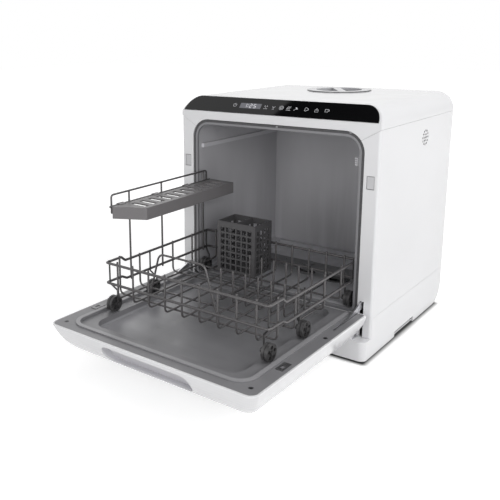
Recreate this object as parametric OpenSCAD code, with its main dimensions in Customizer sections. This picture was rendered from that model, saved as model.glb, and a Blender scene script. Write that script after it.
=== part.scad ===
// Countertop dishwasher with a drop-down door, pull-out basket and folding cup shelf.
// Frame: +X to the right, -Y out of the door, +Z up, origin under the cabinet's front face.

/* [Cabinet] */
// Width of the cabinet
cabinet_w = 410; // [380:1:450]
// Depth of the cabinet behind its front face
cabinet_d = 350; // [330:1:380]
// Height of the top cover above the table
cabinet_h = 440; // [420:1:480]
// Radius of the two long top edges
top_edge_r = 35; // [25:1:40]
// Wall of the outer covers
cover_t = 3; // [2:0.5:4]
// Height of the top cover above its seam with the side panels
cover_h = 38; // [36:1:40]
// Height of the seam between side panels and base
base_seam_z = 76; // [74:1:80]
// Height of the feet below the base
foot_h = 4; // [3:1:6]
// Gap that shows as a seam between two covers
seam_gap = 0.4; // [0.3:0.1:0.8]
// Distance from the top edge back to where the control slope starts
slope_d = 24; // [20:1:30]
// Drop of the control slope at the front face
slope_h = 28; // [24:1:30]

/* [Base] */
// How far the plinth stands in front of the cabinet
plinth_d = 23; // [20:1:26]
// Height of the plinth deck under the open door
plinth_h = 39; // [34:1:40]
// Plan radius of the plinth's front corners
plinth_r = 12; // [8:1:16]
// Radius of the lower rear edge
rear_edge_r = 40; // [30:1:50]
// Length of the hand grip along each side
grip_l = 92; // [80:1:110]
// Height of the hand grip
grip_h = 7; // [5:1:9]

/* [Opening and tub] */
// Width of the pillar on each side of the opening
pillar_w = 26.5; // [26.5:0.5:27.5]
// Height of the bar and the control slope over the opening
head_h = 43; // [42:1:44]
// Corner radius of the opening
opening_r = 36; // [30:1:40]
// Width of the door seal
gasket_w = 4.5; // [4:0.5:5]
// Width of the tub's front lip
lip_w = 4; // [3:0.5:5]
// Wall of the tub
tub_t = 2.5; // [2:0.5:3]
// Depth of the tank room behind the tub
tank_room = 50; // [48:1:52]
// Height of the wheel tracks on door and tub floor
track_z = 86; // [84:1:86]
// Depth of the tub's middle floor below the tracks
tub_well = 10; // [8:1:12]
// Width of each wheel track
track_w = 22; // [20:1:24]

/* [Door] */
// Inset of the door's sides from the cabinet's
door_inset = 2; // [1:0.5:4]
// Drop of the hinge pins below the open door's inner rim
hinge_drop = 21.25; // [21:0.25:22]
// Thickness of the door
door_t = 46; // [44:1:48]
// Height of the open door's inner rim
door_rim_z = 89; // [88:1:90]
// Distance from the cabinet's top down to the closed door's top edge
door_head = 30; // [29:1:32]
// Inset of the outer face at the sides
flank_side = 23; // [18:1:26]
// Inset of the outer face at the door's free edge
flank_front = 29; // [24:1:32]
// Gap between the open door and the cabinet
door_gap = 4; // [3.5:0.5:5]
// Gap between the closed door and the cabinet
closed_gap = 1.5; // [1:0.1:2]
// Wall of the door's outer panel
door_skin = 2.5; // [2:0.5:3]
// Depth of the wash basin in the door below its tracks
basin_d = 14; // [10:1:16]
// Length of the grip recess
handle_l = 178; // [150:1:200]
// Thickness of the hinge arms
arm_t = 2.5; // [2:0.5:3]
// Diameter of the hinge pins
hinge_pin_d = 6; // [5:0.5:7]
// Radial clearance of every turning fit
fit_gap = 0.05; // [0.02:0.01:0.08]

/* [Basket] */
// Play of the basket in the depth of the tub
basket_play = 4; // [2:1:20]
// Room between each side rail and the edge of the opening
basket_room = 13; // [12.5:0.5:18]
// Distance from the cabinet's front face to the pulled-out front axle
axle_reach = 255; // [250:1:258]
// Height of the top rail at the front
rail_top_z = 176; // [170:1:180]
// Drop of the side rails behind their step
rail_step = 8; // [4:1:10]
// Height of the lower rail at the front
rail_low_z = 140; // [134:1:146]
// Height of the basket's floor wires
floor_wire_z = 112; // [108:0.5:113]
// Diameter of the rail wire
rail_d = 4; // [3.5:0.1:4.5]
// Diameter of the grid wire
grid_d = 3; // [2.5:0.1:3.4]
// Diameter of the wheels
wheel_d = 28; // [26:1:30]
// Width of the wheels
wheel_w = 11; // [9:1:12]
// Diameter of the wheel axle pins
axle_d = 5; // [4:0.5:6]

/* [Cup shelf and cutlery] */
// Distance from the opening's top down to the cup shelf
shelf_drop = 122; // [119:1:132]
// Reach of the cup shelf from its hinge wire
shelf_w = 58; // [50:1:64]
// Height of the cup shelf's skirt
shelf_skirt = 21; // [16:1:24]
// Height of the guard wire over the shelf's hinge wire
guard_h = 19; // [14:1:19]
// Width of the cutlery basket
cutlery_w = 84; // [70:1:90]
// Depth of the cutlery basket
cutlery_d = 58; // [50:1:60]
// Height of the cutlery basket
cutlery_h = 97; // [90:1:104]

/* [Fill lid and spray arm] */
// Diameter of the fill lid
lid_d = 128; // [116:1:132]
// Distance of the fill lid's centre from the cabinet's rear
lid_back = 88; // [82:1:95]
// Room between the spray arm's tips and the tub's front and rear
spray_room = 22; // [15:1:40]

/* [Hidden] */
$fn = 48;

eps = 0.01;
pass = 1;
snug = 0.3;
half_w = cabinet_w / 2;
half_open = half_w - pillar_w;
opening_top_z = cabinet_h - head_h;
top_seam_z = cabinet_h - cover_h;
cut_h = 10;
hull_fn = 32;
seam_turn = 37;
bend_lap = 0.3;
wall_in = half_w - cover_t;
slope_z = cabinet_h - slope_h;
slope_k = slope_h / slope_d;
slope_a = atan(slope_k);
slope_len = norm([slope_d, slope_h]);
slope_drop = cover_t / cos(slope_a);
base_top = base_seam_z - seam_gap;
side_top = top_seam_z - seam_gap;
floor_top = foot_h + cover_t;
pillar_edge_r = 4;
grip_y = 110;
foot_r = 14;
foot_side = 40;
foot_ys = [5, cabinet_d - 60];
foot_places = [for (y = foot_ys, s = [-1, 1]) [s * (half_w - foot_side), y]];
rest_x = [55 - half_w, half_w - 55];
rest_w = 12;
tab_l = 30;
tab_ys = [60, cabinet_d - 80];
glass_t = 1.2;
glass_side = 5;
board_t = 1.6;

// Mitre between the top cover's front bar and the side panels' pillars
mitre_x = half_open - 8;
mitre_z = opening_top_z - 15;
mitre_slope = (top_seam_z - mitre_z) / (half_w - mitre_x);

// Tub and what stands around it
tub_d = cabinet_d - tank_room;
tub_in = half_open - gasket_w - lip_w - 1;
tub_out = tub_in + tub_t;
tub_top = opening_top_z - gasket_w - lip_w - 1;
tub_r = opening_r - gasket_w - lip_w - 1;
tub_floor = track_z - tub_well;
track_in = tub_in - track_w;
tub_front_y = cover_t + 0.5;
lip_front = 1.5;
sill = 12;
gasket_front = 1.4;
gasket_back = tub_front_y + 4;
ledge_d = 5;
ledge_h = 8;
ledge_z = tub_top - 49;

// Water tank behind the tub and over its ceiling
tank_t = 2;
tank_y0 = tub_d + tub_t + 2.5;
tank_y1 = cabinet_d - cover_t - 1;
tank_half_w = half_w - 21;
tank_z0 = 78;
tank_top = cabinet_h - cover_t - 12;
tank_shelf_half = 84;
lid_r = lid_d / 2;
lid_y = cabinet_d - lid_back;
tank_shelf_y = lid_y - lid_r - 8;
neck_r = lid_r - 14;
neck_t = 3;
lid_rise = 2;
lid_plate = 5;
lid_floor = 14;
lid_bar = 15;
lid_turn = -56;
lid_wall = 4;
neck_top = cabinet_h - cover_t - 0.1;
tank_roof_z0 = tub_top + tub_t + 3;

// Door hinge: the rim is level when open and upright when closed
hinge_y = -closed_gap - hinge_drop;
hinge_z = door_rim_z - hinge_drop;
hinge_r = hinge_pin_d / 2;
door_top_z = cabinet_h - door_head;
door_reach = door_top_z - hinge_z - hinge_y;
door_half = half_w - door_inset;
door_low_z = door_rim_z - door_t;
door_corner_r = 15;
rear_chamfer = 12;
flank_rear = 26;
flank_even = 0.6;
ear_t = 5;
ear_x = half_w - 28;
ear_r = 7;
ear_gap = 0.6;
ear_back = 9;
arm_x = half_w - 20;
arm_slot_w = arm_t + 5;
arm_slot_x = arm_x + arm_t / 2 - arm_slot_w / 2;
pin_x1 = arm_x + arm_t + 2;
boss_x = half_w - 36;

// Door inner panel
sheet = 2.5;
rim_edge = 2.5;
ridge_h = 2.5;
ridge_w = 7;
ridge_in = half_open - gasket_w - lip_w + 0.5;
ridge_front = door_reach - (door_top_z - opening_top_z) - gasket_w - lip_w - ridge_w + 2;
basin_half = track_in;
basin_front = ridge_front - 18;
basin_rear = 24;
basin_r = 26;

// Grip recess in the door's free edge
grip_depth = 13;
grip_top = 9;
grip_low = 42;
grip_crown = 2;
grip_lean = 0.85;

// Basket, drawn pulled out onto the open door
wheel_r = wheel_d / 2;
axle_r = axle_d / 2;
axle_z = track_z + wheel_r;
axle_y = -axle_reach;
rail_r = rail_d / 2;
grid_r = grid_d / 2;
weld = 0.3;
basket_side = half_open - basket_room - rail_r;
basket_front = axle_y - wheel_r + rail_r + 1.5;
basket_rear = basket_front + tub_d - basket_play - 2 * rail_r;
middle_axle_y = axle_y + 104;
rear_axle_y = basket_rear - 15;
step_y = basket_front + 42;
step_run = 5;
low_run = [8, 4];
low_rise = 4;
wire_top = rail_r + 1.5;
rail_back_z = rail_top_z - rail_step;
rail_low_back_z = rail_low_z - 6;
wheel_x = track_in + track_w / 2 - 0.5;
eye_t = 4;
eye_x = wheel_x - wheel_w / 2 - 1 - eye_t;
eye_r = 5;
axle_play = 0.4;
axle_head = 2.5;
axle_cap = 1.8;
cap_r = 1.5;
leg_drop = 14;
leg_lean = [6, 5];
wheel_holes = 5;
wheel_hole_r = 0.22;
wheel_hole_place = 0.58;

// Cup shelf on its posts at the basket's left side
shelf_z = opening_top_z - shelf_drop;
post_x = -basket_side + 3.5;
hinge_wire_x = post_x + grid_r + rail_r - weld;
hinge_wire_z = shelf_z - 1.2;
shelf_y0 = basket_front + 8;
shelf_y1 = basket_rear - 3;
shelf_cut = 28;
guard_in = 6;
guard_leg = 12;
guard_z = hinge_wire_z + guard_h;
post_front = 58;
post_middle = 145;
post_rear = 20;
post_ys = [basket_front + post_front, basket_front + post_middle, basket_rear - post_rear];

// Cutlery basket
cutlery_y1 = basket_rear - 7;
cutlery_z0 = floor_wire_z + grid_d + 1.5;
cutlery_t = 2.4;
cell = 12;
cell_bar = 3;

// Wash parts under the tub
spray_y = tub_d / 2;
spray_r = tub_d / 2 - spray_room;
post_r = 8;
spray_z0 = tub_floor + 8;
spray_h = 13;
blade_z = spray_z0 + 3;
blade_h = 8;
blade_w = 32;
hub_wall = 5;
hub_play = 1.2;
jets = 5;
jet_x0 = 30;
jet_pitch = 20;
jet_r = 1.6;
jet_depth = 2;
sump_r = 44;
sump_z0 = 24;
filter_x = 66;
filter_r = 26;
filter_wall = 2;
filter_z0 = sump_z0 + 20;
filter_seat = 0.1;
filter_grip = 0.6;
filter_web = 3;
filter_slots = 12;
filter_slot = [filter_r, 4, 8];
filter_slot_z = 6;
filter_slot_pitch = 12;
pump_x = 87 - half_w;
pump_y = spray_y;
pump_z = 38;
pump_r = 28;
pump_l = 56;
volute_l = 22;
volute_x0 = pump_x + pump_l / 2 - volute_l / 2;
volute_wall = 3;
motor_r = 24;
impeller_r = 19;
vanes = 6;
vane_t = 2;
disc_x = volute_x0 + volute_wall + vane_t;
fan_y = cabinet_d - 146;
fan_z = top_seam_z - 36;
fan_r = 25;
fan_x0 = tub_out + 3;
fan_depth = 14;
fan_wall = 2;
fan_tip = 1;
fan_hub_r = 9;
fan_hub_x = wall_in - 10;
fan_hub_l = 6;
fan_pin_r = 2;
fan_blades = 7;
fan_blade = [1.4, fan_r - fan_hub_r + fan_tip / 2, 8];
fan_blade_turn = 25;
vent_hole = 4.2;
connector_y = cabinet_d + 15;

// Small pieces in the cabinet
arm_slot_top = door_rim_z + 15.4;
latch_x = half_w - 21;
latch_z = top_seam_z - 100;
latch_w = 14;
latch_h = 23;
latch_back = 2;
pad_gap = 0.5;
pad_front = 0.8;
vent_pitch = 6.5;
screw_r = 1.8;
screw_side = 9;
screw_zs = [base_seam_z + 24, top_seam_z - 22];
screw_places = [for (z = screw_zs, s = [-1, 1]) [s * (wall_in - screw_side), z]];
port_z = 58;
port_y = cabinet_d - 15;
port_r = 8;
port_hole_r = 9;
port_flange = 4;
port_stop = 6;
drain_x = half_w - 75;
inlet_x = -60;
power_x = -drain_x;
power_w = 26;
power_h = 18;
power_gap = 0.5;
power_pin_r = 1.2;
power_pin_pitch = 6;
power_pin_drop = 2;
display_w = 220;
board_w = 160;
board_d = 70;
board_y = 80;
board_z = tub_top + tub_t + 5;
spigot_r = 5;
spigot_h = 10.5;
shaft_r = 3;
well_r = 30;
filter_step = 3;
pipe_r = 6;
pipe_wall = 2;
heater_x = pump_x + pump_l / 2;
pump_neck = 8;
heater_y0 = 40;
heater_y1 = pump_y - 36;
heater_r = 14;
drain_pump_y = spray_y + 40;
drain_pump_z = 44;
drain_pump_r = 17;
hose_r = 6;
elbow = 1.2;
hose_y = 24;
drain_bend = 16;

// Small pieces in the door
rim_band = 2.6;
chamfer_z = 79;
door_steps = 7;
rear_corner_r = 6;
grip_r = 15;
grip_wall = 2;
corner_screw = [door_half - 19, 22 - door_reach];
side_screw = [door_half - 13, -140];
door_screw_l = 12;
door_screw_head = 2;
door_screw_slot = 1;
door_screw_places = [for (p = [corner_screw, side_screw], s = [-1, 1]) [s * p[0], p[1]]];
ridge_r = 24;
ridge_rear = 30;
rim_rear = 19;
track_rear = 15.9;
boss_t = 5;
boss_r = 6;
inner_boss_x = boss_x - 18;
arm_front_y = -104;
// Side view of a hinge arm above its pin: y, and height over the door's rim
arm_side = [[arm_front_y, -9], [arm_front_y, -5], [-46, 3], [-14, 13], [4, 14.8], [4, 4], [-9, 1]];
arm_heel = [-36, -9];
arm_foot = 6;
arm_room = 12;
spring_turns = 6;
spring_core = 1.3;
spring_coil = 1.5;
spring_fill = 0.46;
spring_leg_r = 0.8;
spring_leg_x = 1.2;
strike_x = half_w - 17;
strike_y = latch_z + 7 - hinge_z - hinge_y;
strike_w = 12;
strike_l = 26;
tyre_groove = 1;
cross_front = [29.5, 81.5];
cross_rear = [116.5, 56.5];
cross_ys = concat([for (d = cross_front) basket_front + d], [for (d = cross_rear) basket_rear - d]);
long_side = 23.5;
long_wires = 4;
long_pitch = (basket_side - long_side) / long_wires;
tine_last = 6;
tine_pitch = 25;
tine_side = 17.5;
tine_x0 = basket_side - tine_side - tine_last * tine_pitch;
tine_y0 = basket_front + 115.5;
tine_y1 = basket_rear - 86.5;
tine_h = 56;
cutlery_x1 = tine_x0 - 4;
hoop_x0 = -92;
hoop_x1 = 56;
hoop_lean = [26, 28];
hoop_z = 203;
shelf_x0 = hinge_wire_x + 4.5;
shelf_slots = 11;
shelf_pitch = 22;
shelf_wall = 2;
slot_in = 10;
slot_front = 6;
slot_short = 24;
knuckle_ys = [shelf_y0 + 17.5, shelf_y0 + 107.5, shelf_y1 - 83.5];
knuckle_l = 14;
knuckle_r = 3.4;
knuckle_low = 0.6;
knuckle_thin = 1.6;

// Shapes drawn in a side, front or plan view and given a length
module along_x(x0, x1) { translate([x0, 0, 0]) rotate([90, 0, 90]) linear_extrude(x1 - x0) children(); }
module along_y(y0, y1) { translate([0, y1, 0]) rotate([90, 0, 0]) linear_extrude(y1 - y0) children(); }
module along_z(z0, z1) { translate([0, 0, z0]) linear_extrude(z1 - z0) children(); }

// Rectangle with one radius on its two low corners and one on its two high corners
module rounded(x0, y0, x1, y1, low, high) {
    translate([x0, y0 + low]) square([x1 - x0, y1 - high - y0 - low]);
    if (low > 0) {
        translate([x0 + low, y0]) square([x1 - x0 - 2 * low, low + eps]);
        translate([x0 + low, y0 + low]) circle(low);
        translate([x1 - low, y0 + low]) circle(low);
    }
    if (high > 0) {
        translate([x0 + high, y1 - high - eps]) square([x1 - x0 - 2 * high, high + eps]);
        translate([x0 + high, y1 - high]) circle(high);
        translate([x1 - high, y1 - high]) circle(high);
    }
}

// Round bar from one point to another
module bar(a, b, r) {
    d = b - a;
    len = norm(d);
    turn = atan2(d[1], d[0]);
    tilt = acos(d[2] / len);
    translate(a) rotate([0, tilt, turn]) cylinder(r = r, h = len);
}

// Bent wire: bars between the points, lapping a little at every bend, with a ball there
module wire(points, r) {
    last = len(points) - 1;
    for (i = [0 : last - 1]) {
        along = (points[i + 1] - points[i]) / norm(points[i + 1] - points[i]) * bend_lap;
        bar(points[i] - (i > 0 ? along : [0, 0, 0]),
            points[i + 1] + (i < last - 1 ? along : [0, 0, 0]), r);
    }
    for (i = [1 : last - 1]) translate(points[i]) rotate(seam_turn) sphere(r * 1.1);
}

// Hose with an elbow fitting at every bend
module hose(points) {
    last = len(points) - 1;
    for (i = [0 : last - 1]) bar(points[i], points[i + 1], hose_r);
    for (i = [1 : last - 1])
        translate(points[i] - [0, 0, elbow * hose_r])
            cylinder(r = elbow * hose_r, h = 2 * elbow * hose_r);
}

module mirror_pair() {
    children();
    mirror([1, 0, 0]) children();
}

module cylinder_x(x0, x1, r) { translate([x0, 0, 0]) rotate([0, 90, 0]) cylinder(r = r, h = x1 - x0); }
module cylinder_y(y0, y1, r) { translate([0, y1, 0]) rotate([90, 0, 0]) cylinder(r = r, h = y1 - y0); }

module opening_outline(grow) {
    r = opening_r + grow;
    rounded(-half_open - grow, plinth_h - pass, half_open + grow, opening_top_z + grow, 0, r);
}

module cabinet_outline(inset) {
    rounded(-half_w + inset, foot_h + inset, half_w - inset, cabinet_h - inset,
            0, top_edge_r - inset);
}

// ---- Cabinet ----

// Side view of the base with its rounded rear edge
module base_profile(inset, front, top) {
    r = rear_edge_r - inset;
    arc_y = cabinet_d - rear_edge_r;
    arc_z = foot_h + rear_edge_r;
    translate([front, foot_h + inset]) square([arc_y - front, top - foot_h - inset]);
    translate([arc_y - eps, arc_z]) square([r + eps, top - arc_z]);
    translate([arc_y, arc_z])
        intersection() {
            circle(r);
            translate([0, -r]) square(r + eps);
        }
}

module base_pan() {
    inner_front = tub_front_y + cover_t;
    color("whitesmoke") {
        difference() {
            union() {
                along_x(-half_w, half_w) base_profile(0, 0, base_top);
                along_z(foot_h, plinth_h)
                    rounded(-half_w, -plinth_d, half_w, plinth_r, plinth_r, 0);
            }
            along_x(-wall_in, wall_in) base_profile(cover_t, inner_front, base_seam_z + pass);
            along_z(floor_top, plinth_h - cover_t)
                rounded(-wall_in, cover_t - plinth_d, wall_in, inner_front + pass,
                        plinth_r - cover_t, 0);
            translate([-half_w - pass, -pass, plinth_h])
                cube([cabinet_w + 2 * pass, tub_front_y + pass, base_seam_z]);
            translate([-tub_out - pass, 0, tub_floor - tub_t])
                cube([2 * (tub_out + pass), inner_front + pass, base_seam_z]);
            mirror_pair() {
                translate([arm_slot_x, 0, plinth_h])
                    cube([arm_slot_w, inner_front + pass, base_seam_z]);
                translate([wall_in - pass, grip_y, 0])
                    cube([cover_t + 2 * pass, grip_l, floor_top + grip_h]);
            }
            translate([drain_x, 0, port_z]) cylinder_y(tank_y1, cabinet_d + pass, port_hole_r);
            translate([inlet_x, 0, port_z]) cylinder_y(tank_y1, cabinet_d + pass, port_hole_r);
            translate([power_x - power_w / 2, tank_y1, port_z - power_h / 2])
                cube([power_w, 2 * cover_t, power_h]);
        }
        // Rests under the tub and the tank, and tabs inside the side panels
        for (x = rest_x) {
            translate([x - rest_w / 2, tub_d - 2 * rest_w, floor_top - eps])
                cube([rest_w, rest_w, tub_floor - tub_t - floor_top + eps]);
            translate([x - rest_w / 2, tank_y0 + rest_w / 2, floor_top - eps])
                cube([rest_w, rest_w, tank_z0 - floor_top + eps]);
        }
        for (y = tab_ys) mirror_pair() translate([wall_in - cover_t, y, base_top - 2 * cover_t]) {
            cube([cover_t, tab_l, 4 * cover_t]);
            cube([cover_t + eps, tab_l, cover_t]);
        }
    }
}

module rubber_feet() {
    color("dimgray")
    for (p = foot_places) translate([p[0], p[1], 0]) cylinder(r = foot_r, h = foot_h);
}

module side_panel() {
    inner_x = half_open - opening_r;
    difference() {
        union() {
            along_z(plinth_h + seam_gap, side_top)
                intersection() {
                    union() {
                        translate([inner_x, 0]) square([half_w - pillar_edge_r - inner_x, cover_t]);
                        translate([half_w - pillar_edge_r, pillar_edge_r]) circle(pillar_edge_r);
                    }
                    square([half_w, cover_t]);
                }
            along_z(base_seam_z, side_top) {
                translate([half_w - pillar_edge_r, pillar_edge_r]) circle(pillar_edge_r);
                translate([wall_in, pillar_edge_r]) square([cover_t, cabinet_d - pillar_edge_r]);
            }
        }
        along_y(-pass, cover_t + pass) opening_outline(0);
        along_y(-pass, cover_t + 0.5)
            polygon([[half_w + pass, side_top + pass], [half_w + pass, side_top + pass * mitre_slope],
                     [inner_x, side_top - (half_w - inner_x) * mitre_slope],
                     [inner_x, side_top + pass]]);
        translate([arm_slot_x, -pass, 0])
            cube([arm_slot_w, cover_t + 2 * pass, arm_slot_top]);
        translate([latch_x, -pass, latch_z]) cube([latch_w, cover_t + 2 * pass, latch_h]);
    }
}

module side_panel_left() { color("white") mirror([1, 0, 0]) side_panel(); }

module side_panel_right() {
    color("white")
    difference() {
        side_panel();
        translate([0, fan_y, fan_z])
            for (ring = [0 : 2], i = [0 : max(6 * ring - 1, 0)])
                rotate([i * 360 / max(6 * ring, 1), 0, 0])
                    translate([0, ring * vent_pitch, 0])
                        cylinder_x(wall_in - pass, half_w + pass, vent_hole / 2);
    }
}

module top_cover() {
    color("white") {
        difference() {
            intersection() {
                along_y(0, cabinet_d) cabinet_outline(0);
                along_x(-half_w, half_w)
                    polygon([[0, top_seam_z], [0, slope_z], [slope_d, cabinet_h],
                             [cabinet_d, cabinet_h], [cabinet_d, top_seam_z]]);
            }
            intersection() {
                along_y(cover_t, cabinet_d - cover_t) cabinet_outline(cover_t);
                along_x(-half_w, half_w)
                    polygon([[cover_t, top_seam_z - pass],
                             [cover_t, slope_z + cover_t * slope_k - slope_drop],
                             [(slope_h - cover_t + slope_drop) / slope_k, cabinet_h - cover_t],
                             [cabinet_d, cabinet_h - cover_t], [cabinet_d, top_seam_z - pass]]);
            }
            translate([0, lid_y, tank_top])
                cylinder(r = lid_r + 2 * seam_gap, h = cabinet_h - tank_top + pass);
        }
        along_y(0, cover_t)
            difference() {
                polygon([[-half_w, top_seam_z + eps], [-half_w, top_seam_z], [-mitre_x, mitre_z],
                         [mitre_x, mitre_z], [half_w, top_seam_z], [half_w, top_seam_z + eps]]);
                opening_outline(0);
            }
        for (y = tab_ys) mirror_pair()
            translate([wall_in - cover_t, y, top_seam_z]) {
                translate([0, 0, -2 * cover_t]) cube([cover_t, tab_l, 3 * cover_t]);
                cube([cover_t + eps, tab_l, cover_t]);
            }
    }
}

module rear_panel() {
    color("gainsboro")
    difference() {
        translate([-wall_in, cabinet_d - cover_t, base_seam_z])
            cube([2 * wall_in, cover_t, side_top - base_seam_z]);
        for (p = screw_places)
            translate([p[0], 0, p[1]]) cylinder_y(cabinet_d - 2 * cover_t, cabinet_d + pass, screw_r);
    }
}

module cover_screws() {
    color("silver")
    for (p = screw_places) translate([p[0], 0, p[1]]) {
        cylinder_y(cabinet_d - 3 * cover_t, cabinet_d + eps, screw_r);
        cylinder_y(cabinet_d, cabinet_d + screw_r, 2 * screw_r);
    }
}

module on_slope() { along_x(-half_w, half_w) translate([0, slope_z]) rotate(slope_a) children(); }

module control_glass() {
    color("black")
    intersection() {
        along_y(-cover_t, slope_d + cover_t)
            rounded(-half_w + glass_side, slope_z - top_edge_r, half_w - glass_side,
                    cabinet_h - 0.5, 0, top_edge_r - glass_side);
        on_slope() translate([glass_t, 0]) square([slope_len - glass_t, glass_t]);
    }
}

module display_board() {
    color("darkgreen")
    intersection() {
        on_slope() translate([2 * cover_t, -cover_t - board_t])
            square([slope_len - 6 * cover_t, board_t]);
        translate([-display_w / 2, 0, 0]) cube([display_w, slope_d * 2, cabinet_h]);
    }
}

module control_board() {
    color("darkgreen") {
        translate([-board_w / 2, board_y, board_z]) cube([board_w, board_d, board_t]);
        for (x = [-1, 1], y = [0.1, 0.9])
            translate([x * board_w * 0.45, board_y + board_d * y, tub_top + tub_t])
                cylinder(r = board_t * 2, h = board_z - tub_top - tub_t + eps);
        translate([-board_w * 0.3, board_y + board_d * 0.2, board_z])
            cube([board_w * 0.2, board_d * 0.4, board_d * 0.3]);
        translate([board_w * 0.2, board_y + board_d * 0.5, board_z])
            cylinder(r = board_d * 0.1, h = board_d * 0.3);
    }
}

// ---- Tub and water parts ----

module tub_box(side, low, top, front, back, r) {
    along_y(front, back) rounded(-side, low, side, top, pillar_edge_r, r);
}

module tub() {
    color("darkgray")
    difference() {
        union() {
            tub_box(tub_out, tub_floor - tub_t, tub_top + tub_t, tub_front_y, tub_d + tub_t,
                    tub_r + tub_t);
            along_y(lip_front, tub_front_y + tub_t)
                rounded(-tub_in - lip_w, track_z - tub_t, tub_in + lip_w, tub_top + lip_w,
                        0, tub_r + lip_w);
        }
        difference() {
            tub_box(tub_in, track_z, tub_top, 0, tub_d, tub_r);
            mirror_pair()
                translate([-tub_in - pass, tub_front_y + sill, ledge_z])
                    cube([ledge_d + pass, tub_d - tub_front_y - 2 * sill, ledge_h]);
        }
        along_y(tub_front_y + sill, tub_d - sill)
            rounded(-track_in, tub_floor, track_in, track_z + pass, 0, 0);
        translate([0, spray_y, tub_floor - 2 * tub_t]) cylinder(r = post_r, h = 3 * tub_t);
        translate([filter_x, spray_y, tub_floor - 2 * tub_t])
            cylinder(r = filter_r - filter_step + snug, h = 3 * tub_t);
    }
}

module tub_gasket() {
    out = tub_in + lip_w;
    high = tub_top + lip_w;
    color("black")
    along_y(gasket_front, gasket_back)
        difference() {
            rounded(-out - gasket_w, track_z, out + gasket_w, high + gasket_w,
                    0, tub_r + lip_w + gasket_w);
            rounded(-out, track_z - pass, out, high, 0, tub_r + lip_w - 0.5);
        }
}

module water_tank() {
    color("gainsboro")
    difference() {
        union() {
            translate([-tank_half_w, tank_y0, tank_z0])
                cube([2 * tank_half_w, tank_y1 - tank_y0, tank_top - tank_z0]);
            translate([-tank_shelf_half, tank_shelf_y, tank_roof_z0])
                cube([2 * tank_shelf_half, tank_y0 - tank_shelf_y + eps, tank_top - tank_roof_z0]);
            translate([0, lid_y, tank_top - eps])
                cylinder(r = neck_r + neck_t, h = neck_top - tank_top);
        }
        translate([-tank_half_w + tank_t, tank_y0 + tank_t, tank_z0 + tank_t])
            cube([2 * (tank_half_w - tank_t), tank_y1 - tank_y0 - 2 * tank_t,
                  tank_top - tank_z0 - 2 * tank_t]);
        translate([-tank_shelf_half + tank_t, tank_shelf_y + tank_t, tank_roof_z0 + tank_t])
            cube([2 * (tank_shelf_half - tank_t), tank_y0 - tank_shelf_y + tank_t,
                  tank_top - tank_roof_z0 - 2 * tank_t]);
        translate([0, lid_y, tank_top - 2 * tank_t])
            cylinder(r = neck_r, h = neck_top - tank_top + 3 * tank_t);
    }
}

module sump_form(grow, z0, z1) {
    translate([0, spray_y, z0]) cylinder(r = sump_r + grow, h = z1 - z0);
    translate([filter_x, spray_y, z0]) cylinder(r = well_r + grow, h = z1 - z0);
}

module sump() {
    color("dimgray")
    difference() {
        sump_form(0, sump_z0, tub_floor - tub_t);
        sump_form(-tub_t, sump_z0 + tub_t, tub_floor);
    }
}

module spray_post() {
    color("dimgray")
    translate([0, spray_y, 0])
    difference() {
        union() {
            translate([0, 0, sump_z0 + tub_t])
                cylinder(r = post_r, h = spray_z0 - sump_z0 - tub_t);
            translate([0, 0, tub_floor]) cylinder(r = 2 * post_r, h = 2 * tub_t);
            translate([0, 0, spray_z0 - eps]) cylinder(r = spigot_r, h = spigot_h);
        }
        translate([0, 0, sump_z0 + 4 * tub_t]) cylinder(r = spigot_r - tub_t, h = tub_top);
    }
}

module wash_pump() {
    color("gray")
    difference() {
        union() {
            translate([0, pump_y, pump_z]) {
                cylinder_x(volute_x0 - pump_l, volute_x0 + eps, motor_r);
                cylinder_x(volute_x0, volute_x0 + volute_l, pump_r);
                cylinder_x(volute_x0 + volute_l - eps, 0, pipe_r + 2 * pipe_wall);
            }
            translate([volute_x0 + volute_l / 2, 0, pump_z])
                cylinder_y(heater_y1, pump_y, pipe_r + pipe_wall);
            for (x = [volute_x0 - pump_l + rest_w / 3, volute_x0 - 2 * rest_w])
                translate([x, pump_y - rest_w, floor_top]) cube([rest_w, 2 * rest_w, pump_z - floor_top]);
        }
        sump_form(0, 0, tub_floor);
        translate([0, pump_y, pump_z]) {
            cylinder_x(volute_x0 + volute_wall, volute_x0 + volute_l - volute_wall, impeller_r + vane_t);
            cylinder_x(volute_x0 - pump_l / 2, volute_x0 + volute_wall + pass, shaft_r + fit_gap);
            cylinder_x(volute_x0 + volute_l - volute_wall - pass, 0, pipe_r);
        }
        translate([volute_x0 + volute_l / 2, 0, pump_z])
            cylinder_y(heater_y1 - pass, pump_y - impeller_r, pipe_r - pipe_wall);
    }
}

module pump_impeller() {
    color("white")
    translate([0, pump_y, pump_z]) {
        cylinder_x(volute_x0 - pump_l / 2 + vane_t, disc_x + pass, shaft_r);
        cylinder_x(disc_x, disc_x + volute_wall, impeller_r);
        cylinder_x(disc_x, volute_x0 + volute_l - 2 * volute_wall, shaft_r * 2);
        for (i = [0 : vanes - 1]) rotate([i * 360 / vanes, 0, 0])
            translate([disc_x + vane_t, shaft_r, -vane_t / 2])
                cube([volute_l - 7 * vane_t, impeller_r - shaft_r - vane_t, vane_t]);
    }
}

module heater() {
    color("silver")
    difference() {
        union() {
            translate([heater_x, 0, pump_z]) {
                cylinder_y(heater_y0 + pump_neck, heater_y1 - pump_neck, heater_r);
                cylinder_y(heater_y0, heater_y1, pipe_r + pipe_wall);
            }
            translate([heater_x - rest_w / 2, heater_y0 + 2 * rest_w, floor_top])
                cube([rest_w, 2 * rest_w, pump_z - floor_top]);
        }
        translate([heater_x, 0, pump_z])
            cylinder_y(heater_y0 - pass, heater_y1 + pass, pipe_r - pipe_wall);
    }
}

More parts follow.
